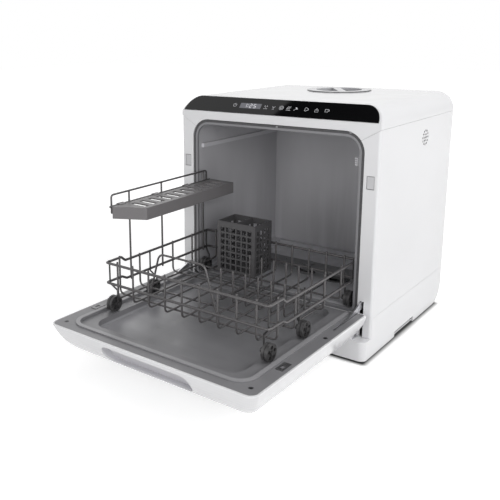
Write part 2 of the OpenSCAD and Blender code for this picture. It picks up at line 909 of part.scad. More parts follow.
module drain_pump() {
    color("gray")
    difference() {
        union() {
            translate([filter_x, 0, drain_pump_z]) {
                cylinder_y(spray_y, drain_pump_y + eps, pipe_r + pipe_wall);
                cylinder_y(drain_pump_y, drain_pump_y + pump_l - pump_neck, drain_pump_r);
                cylinder_y(drain_pump_y + pump_l - pump_neck - eps, drain_pump_y + pump_l, pipe_r);
            }
            translate([filter_x - rest_w / 2, drain_pump_y + rest_w, floor_top])
                cube([rest_w, 2 * rest_w, drain_pump_z - floor_top]);
        }
        sump_form(0, 0, tub_floor);
        translate([filter_x, 0, drain_pump_z])
            cylinder_y(spray_y, drain_pump_y + pump_neck / 2, pipe_r - pipe_wall / 2);
    }
}

module hoses() {
    drain_y = drain_pump_y + pump_l;
    color("black")
    difference() {
        union() {
            hose([[heater_x, heater_y0, pump_z], [heater_x, hose_y, pump_z], [0, hose_y, pump_z],
                  [0, spray_y, pump_z]]);
            hose([[filter_x, drain_y, drain_pump_z], [filter_x, drain_y + drain_bend, drain_pump_z],
                  [drain_x, drain_y + drain_bend, port_z], [drain_x, port_y, port_z]]);
            hose([[0, tank_y0 + 2 * rest_w, tank_z0], [0, tank_y0 + 2 * rest_w, port_z],
                  [0, spray_y, port_z]]);
        }
        sump_form(0, 0, tub_floor);
    }
}

module drain_outlet() {
    color("dimgray")
    translate([drain_x, 0, port_z])
    difference() {
        union() {
            cylinder_y(port_y, connector_y, port_r);
            cylinder_y(cabinet_d, cabinet_d + cover_t, port_r + port_flange);
        }
        cylinder_y(port_y + port_stop, connector_y + pass, port_r - cover_t);
    }
}

module water_inlet() {
    color("royalblue")
    translate([inlet_x, 0, port_z])
    difference() {
        union() {
            cylinder_y(port_y - 2 * port_stop, connector_y, port_r);
            cylinder_y(cabinet_d, cabinet_d + cover_t, port_r + port_flange);
            translate([0, port_y - port_stop, 0]) cylinder(r = port_r - cover_t, h = tank_z0 - port_z);
        }
        cylinder_y(port_y + port_stop, connector_y + pass, port_r - cover_t);
    }
}

module power_inlet() {
    color("black")
    difference() {
        union() {
            translate([power_x - power_w / 2 + power_gap, port_y, port_z - power_h / 2 + power_gap])
                cube([power_w - 2 * power_gap, cabinet_d - port_y + eps, power_h - 2 * power_gap]);
            translate([power_x - power_w / 2 - port_flange, cabinet_d,
                       port_z - power_h / 2 - port_flange / 2])
                cube([power_w + 2 * port_flange, cover_t, power_h + port_flange]);
        }
        translate([power_x - power_w / 2 + cover_t, port_y + cover_t, port_z - power_h / 2 + cover_t])
            cube([power_w - 2 * cover_t, cabinet_d, power_h - 2 * cover_t]);
    }
    color("silver")
    for (i = [-1 : 1])
        translate([power_x + i * power_pin_pitch, 0, port_z + pass - abs(i) * power_pin_drop])
            cylinder_y(port_y + power_pin_drop, cabinet_d, power_pin_r);
}

module hinge_brackets() {
    color("silver")
    mirror_pair()
        difference() {
            union() {
                translate([ear_x, -plinth_d, plinth_h])
                    cube([ear_t, plinth_d + hinge_y + ear_back, hinge_z - plinth_h]);
                translate([0, hinge_y, hinge_z]) cylinder_x(ear_x, ear_x + ear_t, ear_r);
                translate([ear_x, -plinth_d, plinth_h]) cube([ear_t, plinth_d - seam_gap, cover_t]);
            }
            translate([0, hinge_y, hinge_z])
                cylinder_x(ear_x - pass, ear_x + ear_t + pass, hinge_r + fit_gap);
        }
}

module door_latches() {
    color("dimgray")
    mirror_pair()
        translate([latch_x - latch_back, cover_t, latch_z - 2 * latch_back])
            cube([half_w - 2 * pillar_edge_r - seam_gap - latch_x + latch_back, 5 * cover_t,
                  latch_h + 4 * latch_back]);
}

module latch_pads() {
    color("lightgray")
    mirror_pair()
        translate([latch_x + pad_gap, pad_front, latch_z + pad_gap])
            cube([latch_w - 2 * pad_gap, cover_t - pad_front, latch_h - 2 * pad_gap]);
}

module fan_shroud() {
    color("gray")
    translate([0, fan_y, fan_z]) {
        difference() {
            cylinder_x(wall_in - fan_depth, wall_in, fan_r + fan_tip + fan_wall);
            cylinder_x(wall_in - fan_depth - pass, wall_in + pass, fan_r + fan_tip);
        }
        cylinder_x(fan_x0, fan_hub_x - fan_wall, fan_hub_r);
        cylinder_x(fan_hub_x - fan_wall - pass, fan_hub_x + fan_hub_l + pass, fan_pin_r);
        for (a = [0 : 120 : 240]) rotate([a, 0, 0])
            translate([wall_in - fan_depth, 0, -fan_wall]) cube([fan_wall, fan_r + fan_wall, 2 * fan_wall]);
    }
}

module fan_rotor() {
    color("black")
    translate([0, fan_y, fan_z])
        difference() {
            union() {
                cylinder_x(fan_hub_x, fan_hub_x + fan_hub_l, fan_hub_r);
                for (i = [0 : fan_blades - 1]) rotate([i * 360 / fan_blades, 0, 0])
                    translate([fan_hub_x + pass, fan_hub_r - pass, -fan_blade[2] / 2])
                        rotate([0, fan_blade_turn, 0]) cube(fan_blade);
            }
            cylinder_x(fan_hub_x - pass, wall_in, fan_pin_r + fit_gap);
        }
}

// ---- Door ----

// How far the door's outer face has drawn in at a depth from 0 to 1
function flank(s) = flank_even * s + (1 - flank_even) * pow(s, 3);

// Dish of the door, drawn smaller by a wall and open upwards
module door_form(wall, lift) {
    band_z = door_rim_z - rim_band;
    low = door_low_z + wall;
    hull() {
        door_slice(door_rim_z + lift, wall, 0, rear_chamfer);
        for (i = [0 : door_steps]) {
            s = i / door_steps;
            z = band_z - s * (band_z - low);
            door_slice(z, wall, flank(s), max(0, z - chamfer_z) * rear_chamfer / (door_rim_z - chamfer_z));
        }
    }
}

module door_slice(z, wall, f, cut) {
    rear = door_gap + wall + max(flank_rear * f, cut);
    along_z(z - eps, z)
        rounded(-door_half + wall + flank_side * f, -door_reach + wall + flank_front * f,
                door_half - wall - flank_side * f, -rear,
                door_corner_r - wall, rear_corner_r, $fn = hull_fn);
}

// Room of the grip recess, drawn larger by its liner's wall
module grip_room(grow) {
    low = door_rim_z - grip_low - grow;
    high = door_rim_z - grip_top + grow;
    half = handle_l / 2 + grow;
    intersection() {
        along_x(-half, half)
            polygon([[-door_reach - pass, high], [-door_reach + grip_depth + grip_crown + grow, high],
                     [-door_reach + grip_depth + flank_front * grip_lean + grow, low],
                     [-door_reach - pass, low]]);
        along_y(-door_reach - 2 * pass, 0) rounded(-half, low, half, high, grip_r, grip_r);
    }
}

module door_outer_panel() {
    color("white")
    difference() {
        union() {
            difference() {
                door_form(0, 0);
                door_form(door_skin, pass);
            }
            intersection() {
                door_form(0, 0);
                for (p = door_screw_places)
                    translate([p[0], p[1], door_low_z])
                        cylinder(r = 3 * screw_r, h = door_rim_z - sheet - door_low_z);
            }
        }
        grip_room(0);
        mirror_pair() {
            translate([ear_x - ear_gap, hinge_y - ear_r - pass, door_low_z - pass])
                cube([ear_t + 2 * ear_gap, ear_r + pass - hinge_y, hinge_z + cut_h - door_low_z + pass]);
            translate([arm_x - pass, hinge_y - ear_r - arm_room, hinge_z - ear_r - pass])
                cube([arm_t + 2 * pass, ear_r + arm_room - hinge_y, hinge_drop + ear_r + 2 * pass]);
        }
        translate([-ridge_in, -2 * rear_chamfer, track_z]) cube([2 * ridge_in, 2 * rear_chamfer, cut_h]);
        for (p = door_screw_places)
            translate([p[0], p[1], door_rim_z - 6 * cover_t])
                cylinder(r = screw_r, h = 6 * cover_t + pass);
    }
}

module door_handle() {
    color("lightgray")
    difference() {
        intersection() {
            grip_room(grip_wall);
            door_form(door_skin, 0);
        }
        grip_room(0);
    }
}

module basin_outline(grow) {
    rounded(-basin_half - grow, -basin_front - grow, basin_half + grow, -basin_rear + grow,
            basin_r + grow, basin_r + grow);
}

module ridge_outline(grow) {
    rounded(-ridge_in - grow, -ridge_front - grow, ridge_in + grow, -track_rear, ridge_r + grow, 0);
}

module door_inner_panel() {
    rim_low = door_rim_z - sheet;
    color("dimgray")
    difference() {
        union() {
            along_z(rim_low, door_rim_z)
                rounded(-door_half + rim_edge, -door_reach + rim_edge, door_half - rim_edge,
                        -rim_rear, door_corner_r - rim_edge + 1, 3);
            along_z(rim_low, door_rim_z + ridge_h)
                intersection() {
                    ridge_outline(ridge_w);
                    translate([-half_w, -door_reach]) square([cabinet_w, door_reach - ridge_rear]);
                }
            along_z(track_z - sheet, rim_low + eps) ridge_outline(1.5);
            along_z(track_z - basin_d - sheet, track_z) basin_outline(sheet);
            mirror_pair() {
                for (x = [boss_x, inner_boss_x]) {
                    translate([0, hinge_y, hinge_z]) cylinder_x(x, x + boss_t, boss_r);
                    translate([x, hinge_y - boss_r, hinge_z])
                        cube([boss_t, 2 * boss_r, track_z - 1 - hinge_z]);
                }
            }
        }
        along_z(track_z, door_rim_z + 2 * ridge_h)
            rounded(-ridge_in, -ridge_front, ridge_in, 0, ridge_r, 0);
        along_z(track_z - basin_d, door_rim_z) basin_outline(0);
        mirror_pair() {
            translate([0, hinge_y, hinge_z])
                cylinder_x(inner_boss_x - pass, boss_x + boss_t + pass, hinge_r);
            translate([arm_x - pass, arm_front_y - 2 * pass, track_z])
                cube([arm_t + 2 * pass, 2 * pass - arm_front_y, cut_h]);
        }
        for (p = door_screw_places)
            translate([p[0], p[1], rim_low - pass]) cylinder(r = 2 * screw_r + snug, h = cut_h);
    }
}

module hinge_arms() {
    color("silver")
    mirror_pair()
        difference() {
            union() {
                along_x(arm_x, arm_x + arm_t)
                    polygon(concat([for (p = arm_side) [p[0], door_rim_z + p[1]]],
                                   [[hinge_y + arm_foot, hinge_z], [hinge_y - arm_foot, hinge_z],
                                    [arm_heel[0], door_rim_z + arm_heel[1]]]));
                translate([0, hinge_y, hinge_z]) cylinder_x(arm_x, arm_x + arm_t, ear_r);
            }
            translate([0, hinge_y, hinge_z]) cylinder_x(arm_x - pass, arm_x + arm_t + pass, hinge_r);
        }
}

module hinge_pins() {
    color("silver")
    mirror_pair()
        translate([0, hinge_y, hinge_z]) {
            cylinder_x(inner_boss_x - 1, pin_x1, hinge_r);
            cylinder_x(arm_x + arm_t, pin_x1, hinge_r + 2);
        }
}

module door_springs() {
    x0 = inner_boss_x + boss_t;
    span = boss_x - x0;
    color("slategray")
    mirror_pair() {
        translate([0, hinge_y, hinge_z])
            difference() {
                union() {
                    cylinder_x(x0, boss_x, hinge_r + spring_core);
                    for (i = [0.5 : spring_turns - 0.5])
                        translate([x0 + i * span / spring_turns, 0, 0]) rotate([0, 90, 0])
                            rotate_extrude()
                                translate([hinge_r + spring_coil, 0])
                                    circle(span / spring_turns * spring_fill);
                }
                cylinder_x(x0 - pass, boss_x + pass, hinge_r + snug);
            }
        bar([x0 + spring_leg_x, hinge_y - hinge_r - spring_core, hinge_z],
            [x0 + spring_leg_x, hinge_y - hinge_r - spring_core, track_z - sheet], spring_leg_r);
    }
}

module door_screws() {
    rim_low = door_rim_z - sheet;
    color("dimgray")
    for (p = door_screw_places) translate([p[0], p[1], 0])
        difference() {
            union() {
                translate([0, 0, rim_low - door_screw_l]) cylinder(r = screw_r, h = door_screw_l + eps);
                translate([0, 0, rim_low]) cylinder(r = 2 * screw_r, h = door_screw_head);
            }
            translate([-door_screw_slot / 2, -screw_r, rim_low + door_screw_head / 2])
                cube([door_screw_slot, 2 * screw_r, door_screw_head]);
            translate([-screw_r, -door_screw_slot / 2, rim_low + door_screw_head / 2])
                cube([2 * screw_r, door_screw_slot, door_screw_head]);
        }
}

module strike_plates() {
    color("silver")
    mirror_pair()
        difference() {
            translate([strike_x - strike_w / 2, -strike_y - strike_l / 2, door_rim_z])
                cube([strike_w, strike_l, 1]);
            translate([strike_x - strike_w / 4, -strike_y - strike_l / 4, door_rim_z - pass])
                cube([strike_w / 2, strike_l / 3, 3]);
        }
}

// ---- Basket ----

module axle_pins(y) {
    mirror_pair() translate([0, y, axle_z]) {
        cylinder_x(eye_x - axle_head + pass, wheel_x + wheel_w / 2 + axle_cap - axle_play / 2, axle_r);
        cylinder_x(eye_x - axle_head, eye_x - axle_play, axle_r + cap_r);
        cylinder_x(wheel_x + wheel_w / 2 + axle_play, wheel_x + wheel_w / 2 + axle_cap, axle_r + cap_r);
    }
}

module front_axle_pins() { color("dimgray") axle_pins(axle_y); }
module rear_axle_pins() { color("dimgray") { axle_pins(middle_axle_y); axle_pins(rear_axle_y); } }

module wheel(side, y) {
    color("dimgray")
    translate([side * wheel_x, y, axle_z])
        difference() {
            cylinder_x(-wheel_w / 2, wheel_w / 2, wheel_r);
            cylinder_x(-wheel_w, wheel_w, axle_r + fit_gap);
            for (i = [0 : wheel_holes - 1]) rotate([i * 360 / wheel_holes, 0, 0])
                translate([0, 0, wheel_r * wheel_hole_place])
                    cylinder_x(-wheel_w, wheel_w, wheel_r * wheel_hole_r);
            difference() {
                cylinder_x(-tyre_groove, tyre_groove, wheel_r + pass);
                cylinder_x(-wheel_w, wheel_w, wheel_r - tyre_groove);
            }
        }
}

module wheel_front_left() { wheel(-1, axle_y); }
module wheel_front_right() { wheel(1, axle_y); }
module wheel_middle_left() { wheel(-1, middle_axle_y); }
module wheel_middle_right() { wheel(1, middle_axle_y); }
module wheel_rear_left() { wheel(-1, rear_axle_y); }
module wheel_rear_right() { wheel(1, rear_axle_y); }

module basket_rails() {
    s = basket_side;
    f = basket_front;
    b = basket_rear;
    color("dimgray") {
        wire([[s, b, rail_back_z], [-s, b, rail_back_z], [-s, step_y + step_run, rail_back_z],
              [-s, step_y - step_run, rail_top_z], [-s, f, rail_top_z], [s, f, rail_top_z],
              [s, step_y - step_run, rail_top_z], [s, step_y + step_run, rail_back_z],
              [s, b, rail_back_z],
              [s - eps, b, rail_back_z]], rail_r);
        wire([[s, b, rail_low_back_z], [-s, b, rail_low_back_z],
              [-s, step_y + low_run[0], rail_low_back_z], [-s, step_y, rail_low_z + low_rise],
              [-s, step_y - low_run[1], rail_low_z], [-s, f, rail_low_z], [s, f, rail_low_z],
              [s, step_y - low_run[1], rail_low_z], [s, step_y, rail_low_z + low_rise],
              [s, step_y + low_run[0], rail_low_back_z], [s, b, rail_low_back_z],
              [s - eps, b, rail_low_back_z]], rail_r);
    }
}

module basket_floor() {
    x1 = basket_side - rail_r - grid_r + weld;
    f = basket_front + rail_r + grid_r - weld;
    b = basket_rear - rail_r - grid_r + weld;
    low = floor_wire_z;
    high = low + grid_d - weld;
    color("dimgray") {
        for (y = cross_ys) {
            top = (y < step_y ? rail_top_z : rail_back_z) + wire_top;
            wire([[-x1, y, top], [-x1, y, low], [x1, y, low], [x1, y, top]], grid_r);
        }
        for (i = [-long_wires : long_wires])
            wire([[i * long_pitch, f, rail_top_z + wire_top], [i * long_pitch, f, high],
                  [i * long_pitch, b, high], [i * long_pitch, b, rail_back_z + wire_top]], grid_r);
    }
}

module plate_rack() {
    z0 = floor_wire_z - grid_d + weld;
    color("dimgray")
    for (i = [0 : tine_last]) {
        x = tine_x0 + i * tine_pitch;
        wire([[x, tine_y0, z0 + tine_h], [x, tine_y0, z0], [x, tine_y1, z0], [x, tine_y1, z0 + tine_h]],
             grid_r * 0.9);
        for (y = [tine_y0, tine_y1]) translate([x, y, z0 + tine_h]) sphere(grid_r * 1.1);
    }
}

module bowl_hoop() {
    y = cross_ys[0] - grid_d + weld;
    color("dimgray")
    wire([[hoop_x0, y, floor_wire_z - grid_r], [hoop_x0 + hoop_lean[0], y, hoop_z],
          [hoop_x1 - hoop_lean[1], y, hoop_z],
          [hoop_x1, y, floor_wire_z - grid_r]], grid_r);
}

module wheel_carrier(y, lean, top, low) {
    post_y = y + lean;
    x1 = basket_side - rail_r - grid_r + weld;
    leg_x = eye_x + eye_t / 2;
    mirror_pair() difference() {
        union() {
            wire([[x1, post_y, top + wire_top], [x1, post_y, low - rail_r], [leg_x, y, low - leg_drop],
                  [leg_x, y, axle_z + grid_r]], grid_r);
            translate([0, y, axle_z]) cylinder_x(eye_x, eye_x + eye_t, eye_r);
        }
        translate([0, y, axle_z])
            cylinder_x(eye_x - pass, eye_x + eye_t + pass, y == axle_y ? axle_r + fit_gap : axle_r);
    }
}

module wheel_carriers() {
    color("dimgray") {
        wheel_carrier(axle_y, -leg_lean[0], rail_top_z, rail_low_z);
        wheel_carrier(middle_axle_y, -leg_lean[1], rail_back_z, rail_low_back_z);
        wheel_carrier(rear_axle_y, leg_lean[0], rail_back_z, rail_low_back_z);
    }
}

module shelf_posts() {
    color("dimgray") {
        bar([hinge_wire_x, shelf_y0, hinge_wire_z], [hinge_wire_x, shelf_y1, hinge_wire_z], rail_r);
        wire([[post_x, shelf_y0 + guard_in, hinge_wire_z - guard_leg],
              [post_x, shelf_y0 + guard_in, guard_z], [post_x, shelf_y1 - guard_in, guard_z],
              [post_x, shelf_y1 - guard_in, hinge_wire_z - guard_leg]], grid_r);
        for (y = post_ys) bar([post_x, y, rail_low_back_z - rail_r], [post_x, y, guard_z], grid_r);
    }
}

module shelf_outline(inset) {
    x0 = shelf_x0;
    x1 = hinge_wire_x + shelf_w;
    cut_a = atan(shelf_cut / (x1 - x0));
    polygon([[x0, shelf_y1 - inset], [x1 - inset, shelf_y1 - inset],
             [x1 - inset, shelf_y0 + shelf_cut + inset / cos(cut_a) - inset * tan(cut_a)],
             [x0, shelf_y0 + inset / cos(cut_a)]]);
}

module cup_shelf() {
    color("dimgray")
    difference() {
        union() {
            difference() {
                along_z(shelf_z - shelf_skirt, shelf_z) shelf_outline(0);
                along_z(shelf_z - shelf_skirt - pass, shelf_z - sheet) shelf_outline(shelf_wall);
                for (i = [0 : shelf_slots - 1])
                    translate([shelf_x0 + slot_in, shelf_y0 + shelf_cut + slot_front + i * shelf_pitch,
                               shelf_z - 2 * sheet])
                        cube([shelf_w - slot_short, shelf_pitch / 2, 3 * sheet]);
            }
            for (y = knuckle_ys) {
                translate([hinge_wire_x, 0, hinge_wire_z]) cylinder_y(y, y + knuckle_l, knuckle_r);
                translate([hinge_wire_x, y, hinge_wire_z - knuckle_r + knuckle_low])
                    cube([shelf_x0 - hinge_wire_x + cover_t, knuckle_l, 2 * knuckle_r - knuckle_thin]);
            }
        }
        translate([hinge_wire_x, 0, hinge_wire_z])
            cylinder_y(shelf_y0 - pass, shelf_y1 + pass, rail_r + fit_gap);
    }
}

module cutlery_basket() {
    x0 = cutlery_x1 - cutlery_w;
    y0 = cutlery_y1 - cutlery_d;
    t = cutlery_t;
    nx = floor((cutlery_w - 2 * t) / cell);
    ny = floor((cutlery_d - 2 * t) / cell);
    nz = floor((cutlery_h - 4 * t) / cell);
    hole = cell - cell_bar;
    color("dimgray")
    difference() {
        translate([x0, y0, cutlery_z0]) cube([cutlery_w, cutlery_d, cutlery_h]);
        for (i = [0 : 1])
            translate([x0 + t + i * (cutlery_w - t) / 2, y0 + t, cutlery_z0 + t])
                cube([(cutlery_w - 3 * t) / 2, cutlery_d - 2 * t, cutlery_h]);
        for (i = [0 : nx - 1], k = [0 : nz - 1])
            translate([x0 + (cutlery_w - nx * cell + cell_bar) / 2 + i * cell, y0 - pass,
                       cutlery_z0 + 2 * t + k * cell])
                cube([hole, cutlery_d + 2 * pass, hole]);
        for (j = [0 : ny - 1], k = [0 : nz - 1])
            translate([x0 - pass, y0 + (cutlery_d - ny * cell + cell_bar) / 2 + j * cell,
                       cutlery_z0 + 2 * t + k * cell])
                cube([cutlery_w + 2 * pass, hole, hole]);
    }
}

// ---- Moving wash parts and lid ----

module spray_arm() {
    color("gray")
    translate([0, spray_y, 0])
    difference() {
        union() {
            translate([0, 0, spray_z0]) cylinder(r = post_r + hub_wall, h = spray_h);
            translate([0, 0, blade_z])
                linear_extrude(blade_h) union() {
                    square([2 * (spray_r - blade_w / 2), blade_w], center = true);
                    for (s = [-1, 1]) translate([s * (spray_r - blade_w / 2), 0]) circle(blade_w / 2);
                }
        }
        translate([0, 0, spray_z0 - pass]) cylinder(r = spigot_r + fit_gap, h = spigot_h + hub_play);
        for (s = [-1, 1], i = [0 : jets - 1])
            translate([s * (jet_x0 + i * jet_pitch), 0, blade_z + blade_h - jet_depth])
                cylinder(r = jet_r, h = 2 * jet_depth);
    }
}

module sump_filter() {
    color("gray")
    translate([filter_x, spray_y, 0])
    difference() {
        union() {
            translate([0, 0, tub_floor + filter_seat]) cylinder(r = filter_r, h = filter_wall);
            translate([0, 0, filter_z0])
                cylinder(r = filter_r - filter_step, h = tub_floor + pass - filter_z0);
            translate([-filter_r * filter_grip, -filter_web / 2, tub_floor + pass])
                cube([2 * filter_r * filter_grip, filter_web, 2 * filter_web]);
        }
        difference() {
            translate([0, 0, filter_z0 + filter_wall])
                cylinder(r = filter_r - filter_step - filter_wall, h = tub_floor);
            translate([-filter_r, -filter_web / 2, tub_floor])
                cube([2 * filter_r, filter_web, tub_floor]);
        }
        for (i = [0 : filter_slots - 1], k = [0 : 1]) rotate(i * 360 / filter_slots)
            translate([filter_r / 2, -filter_slot[1] / 2,
                       filter_z0 + filter_slot_z + k * filter_slot_pitch])
                cube(filter_slot);
    }
}

module fill_lid() {
    color("white")
    translate([0, lid_y, 0])
    difference() {
        union() {
            translate([0, 0, cabinet_h + lid_rise - lid_plate]) cylinder(r = lid_r, h = lid_plate);
            translate([0, 0, tank_top + pass])
                cylinder(r = neck_r - fit_gap, h = cabinet_h + lid_rise - lid_plate - tank_top);
        }
        for (s = [-1, 1]) intersection() {
            translate([0, 0, cabinet_h + 2 * lid_rise - lid_floor])
                cylinder(r = neck_r - lid_wall, h = lid_floor);
            rotate(lid_turn)
                translate([-lid_r, s > 0 ? lid_bar / 2 : -lid_r, tank_top])
                    cube([2 * lid_r, lid_r - lid_bar / 2, 2 * lid_floor]);
        }
    }
}

base_pan();
rubber_feet();
side_panel_left();
side_panel_right();
top_cover();
rear_panel();
control_glass();
control_board();
display_board();
tub();
tub_gasket();
water_tank();
sump();
wash_pump();
drain_pump();
heater();
hoses();
drain_outlet();
water_inlet();
power_inlet();
hinge_brackets();
door_latches();
latch_pads();
fan_shroud();
spray_post();
cover_screws();
door_outer_panel();
door_inner_panel();
door_handle();
hinge_arms();
hinge_pins();
door_springs();
door_screws();
strike_plates();
front_axle_pins();
wheel_front_left();
wheel_front_right();
basket_rails();
basket_floor();
plate_rack();
bowl_hoop();
wheel_carriers();
rear_axle_pins();
shelf_posts();
wheel_middle_left();
wheel_middle_right();
wheel_rear_left();
wheel_rear_right();
cup_shelf();
cutlery_basket();
spray_arm();
fill_lid();
sump_filter();
pump_impeller();
fan_rotor();
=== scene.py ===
"""Countertop dishwasher: materials, basket wires, panel icons, light, floor and camera."""
import math

import bmesh
import bpy
from mathutils import Matrix, Vector


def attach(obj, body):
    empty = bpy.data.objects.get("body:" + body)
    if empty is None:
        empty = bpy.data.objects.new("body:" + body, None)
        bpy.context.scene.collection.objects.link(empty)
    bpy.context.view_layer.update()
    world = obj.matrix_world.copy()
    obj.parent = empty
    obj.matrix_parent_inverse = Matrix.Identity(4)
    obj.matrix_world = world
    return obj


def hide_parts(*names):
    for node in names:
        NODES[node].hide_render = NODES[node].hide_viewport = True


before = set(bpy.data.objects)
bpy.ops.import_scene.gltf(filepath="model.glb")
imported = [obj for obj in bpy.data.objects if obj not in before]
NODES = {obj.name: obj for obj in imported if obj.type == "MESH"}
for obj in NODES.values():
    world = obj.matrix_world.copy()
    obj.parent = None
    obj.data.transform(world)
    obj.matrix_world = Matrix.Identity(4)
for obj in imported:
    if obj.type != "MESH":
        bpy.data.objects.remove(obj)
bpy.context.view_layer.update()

MM = 0.001


def new_object(name, data):
    """An object in the scene, from finished data."""
    made = bpy.data.objects.new(name, data)
    bpy.context.scene.collection.objects.link(made)
    return made


def node_box(node):
    """The low and high corner of a CAD node at rest, in metres."""
    places = [vertex.co for vertex in NODES[node].data.vertices]
    return [Vector(end(place[axis] for place in places) for axis in range(3)) for end in (min, max)]


# ---------------------------------------------------------------- camera

CAMERA_PLACE = Vector((0.6496, -1.0636, 0.5572))
CAMERA_YAW = math.radians(39.12)
CAMERA_PITCH = math.radians(13.1)
CAMERA_ROLL = math.radians(-0.73)
CAMERA_RANGE = (0.05, 60)
SENSOR_WIDTH = 36.0

# The photograph's own measures, in its pixels
IMAGE_SIZE = 500.0
FOCAL_PIXELS = 691.5
CENTRE_X = 179.4
CENTRE_Y = 194.9


def make_camera():
    """The photograph's view: place, direction, field of view and framing."""
    forward = Vector((
        -math.sin(CAMERA_YAW) * math.cos(CAMERA_PITCH),
        math.cos(CAMERA_YAW) * math.cos(CAMERA_PITCH),
        -math.sin(CAMERA_PITCH),
    ))
    level_right = Vector((math.cos(CAMERA_YAW), math.sin(CAMERA_YAW), 0))
    level_up = level_right.cross(forward)
    right = level_right * math.cos(CAMERA_ROLL) + level_up * math.sin(CAMERA_ROLL)
    up = right.cross(forward)
    data = bpy.data.cameras.new("camera")
    data.sensor_width = SENSOR_WIDTH
    data.lens = FOCAL_PIXELS / IMAGE_SIZE * SENSOR_WIDTH
    data.shift_x = (IMAGE_SIZE / 2 - CENTRE_X) / IMAGE_SIZE
    data.shift_y = (CENTRE_Y - IMAGE_SIZE / 2) / IMAGE_SIZE
    data.clip_start, data.clip_end = CAMERA_RANGE
    camera = new_object("camera", data)
    turn = Matrix((right, up, -forward)).transposed().to_4x4()
    camera.matrix_world = Matrix.Translation(CAMERA_PLACE) @ turn
    bpy.context.scene.camera = camera


# ---------------------------------------------------------------- material helpers

def new_material(name, **inputs):
    """A Principled material; inputs are set on the shader's own sockets."""
    material = bpy.data.materials.new(name)
    material.use_nodes = True
    tree = material.node_tree
    shader = tree.nodes["Principled BSDF"]
    for key, value in inputs.items():
        socket = shader.inputs[key.replace("_", " ").title().replace("Ior", "IOR")]
        socket.default_value = value
    return material, tree, shader


def object_point(tree, stretch=(1, 1, 1), offset=(0, 0, 0)):
    """Object coordinates in metres, scaled per axis and then moved."""
    coordinates = tree.nodes.new("ShaderNodeTexCoord")
    mapping = tree.nodes.new("ShaderNodeMapping")
    mapping.inputs["Scale"].default_value = stretch
    mapping.inputs["Location"].default_value = offset
    tree.links.new(coordinates.outputs["Object"], mapping.inputs["Vector"])
    return mapping.outputs["Vector"]


def noise(tree, scale, detail, stretch=(1, 1, 1), rough=0.5):
    """A noise value from 0 to 1 over the object's own space; scale is features per metre."""
    node = tree.nodes.new("ShaderNodeTexNoise")
    node.inputs["Scale"].default_value = scale
    node.inputs["Detail"].default_value = detail
    node.inputs["Roughness"].default_value = rough
    tree.links.new(object_point(tree, stretch), node.inputs["Vector"])
    return node.outputs["Fac"]


def ramp(tree, value, stops):
    """Colours by value: stops are (position, (r, g, b))."""
    node = tree.nodes.new("ShaderNodeValToRGB")
    elements = node.color_ramp.elements
    while len(elements) < len(stops):
        elements.new(0.5)
    for element, (position, colour) in zip(elements, stops):
        element.position = position
        element.color = (*colour, 1)
    tree.links.new(value, node.inputs["Fac"])
    return node.outputs["Color"]


def spread(tree, value, low, high, start=0.3, end=0.7):
    """value between start and end becomes low to high."""
    node = tree.nodes.new("ShaderNodeMapRange")
    for key, number in (("From Min", start), ("From Max", end), ("To Min", low), ("To Max", high)):
        node.inputs[key].default_value = number
    tree.links.new(value, node.inputs["Value"])
    return node.outputs["Result"]


def opposite(tree, value):
    """1 where the value is 0, and 0 where it is 1."""
    return spread(tree, value, 1, 0, start=0, end=1)


def combine(tree, operation, *values):
    """One arithmetic step on one or two values."""
    node = tree.nodes.new("ShaderNodeMath")
    node.operation = operation
    for value, socket in zip(values, node.inputs):
        tree.links.new(value, socket)
    return node.outputs["Value"]


def tint(tree, first, second, amount):
    """first mixed with second, a socket or a colour, by the socket amount."""
    node = tree.nodes.new("ShaderNodeMix")
    node.data_type = "RGBA"
    tree.links.new(amount, node.inputs[0])
    tree.links.new(first, node.inputs[6])
    if isinstance(second, tuple):
        node.inputs[7].default_value = (*second, 1)
    else:
        tree.links.new(second, node.inputs[7])
    return node.outputs[2]


def add_bump(tree, shader, height, distance):
    """Surface relief; distance is the height in metres. Calls stack."""
    node = tree.nodes.new("ShaderNodeBump")
    node.inputs["Strength"].default_value = 1.0
    node.inputs["Distance"].default_value = distance
    tree.links.new(height, node.inputs["Height"])
    before = shader.inputs["Normal"].links
    if before:
        tree.links.new(before[0].from_socket, node.inputs["Normal"])
    tree.links.new(node.outputs["Normal"], shader.inputs["Normal"])


def finish_surface(tree, shader, colour, roughness):
    """The shader takes its colour and roughness from these sockets."""
    tree.links.new(colour, shader.inputs["Base Color"])
    tree.links.new(roughness, shader.inputs["Roughness"])


def along(tree, axis):
    """The object's own x, y or z in metres."""
    split = tree.nodes.new("ShaderNodeSeparateXYZ")
    tree.links.new(object_point(tree), split.inputs["Vector"])
    return split.outputs[axis]


# Half the width of a colour's soft edge, in metres
EDGE_SOFT = 0.0002


def between(tree, value, low, high, soft=EDGE_SOFT):
    """1 where the value is between low and high."""
    above = spread(tree, value, 0, 1, low - soft, low + soft)
    below = spread(tree, value, 1, 0, high - soft, high + soft)
    return combine(tree, "MULTIPLY", above, below)


def reach(tree, axes, centre):
    """Distance in metres from the centre, along the axes whose factor is 1."""
    node = tree.nodes.new("ShaderNodeVectorMath")
    node.operation = "LENGTH"
    offset = [-place * axis for place, axis in zip(centre, axes)]
    tree.links.new(object_point(tree, axes, offset), node.inputs[0])
    return node.outputs["Value"]


def shade(tone, factor):
    """tone made darker or lighter."""
    return tuple(channel * factor for channel in tone)


def mottle(tree, value, tone, darker, paler, start=0.3, end=0.7):
    """tone times darker up to tone times paler, as the value goes from start to end."""
    return ramp(tree, value, ((start, shade(tone, darker)), (end, shade(tone, paler))))


# ---------------------------------------------------------------- materials

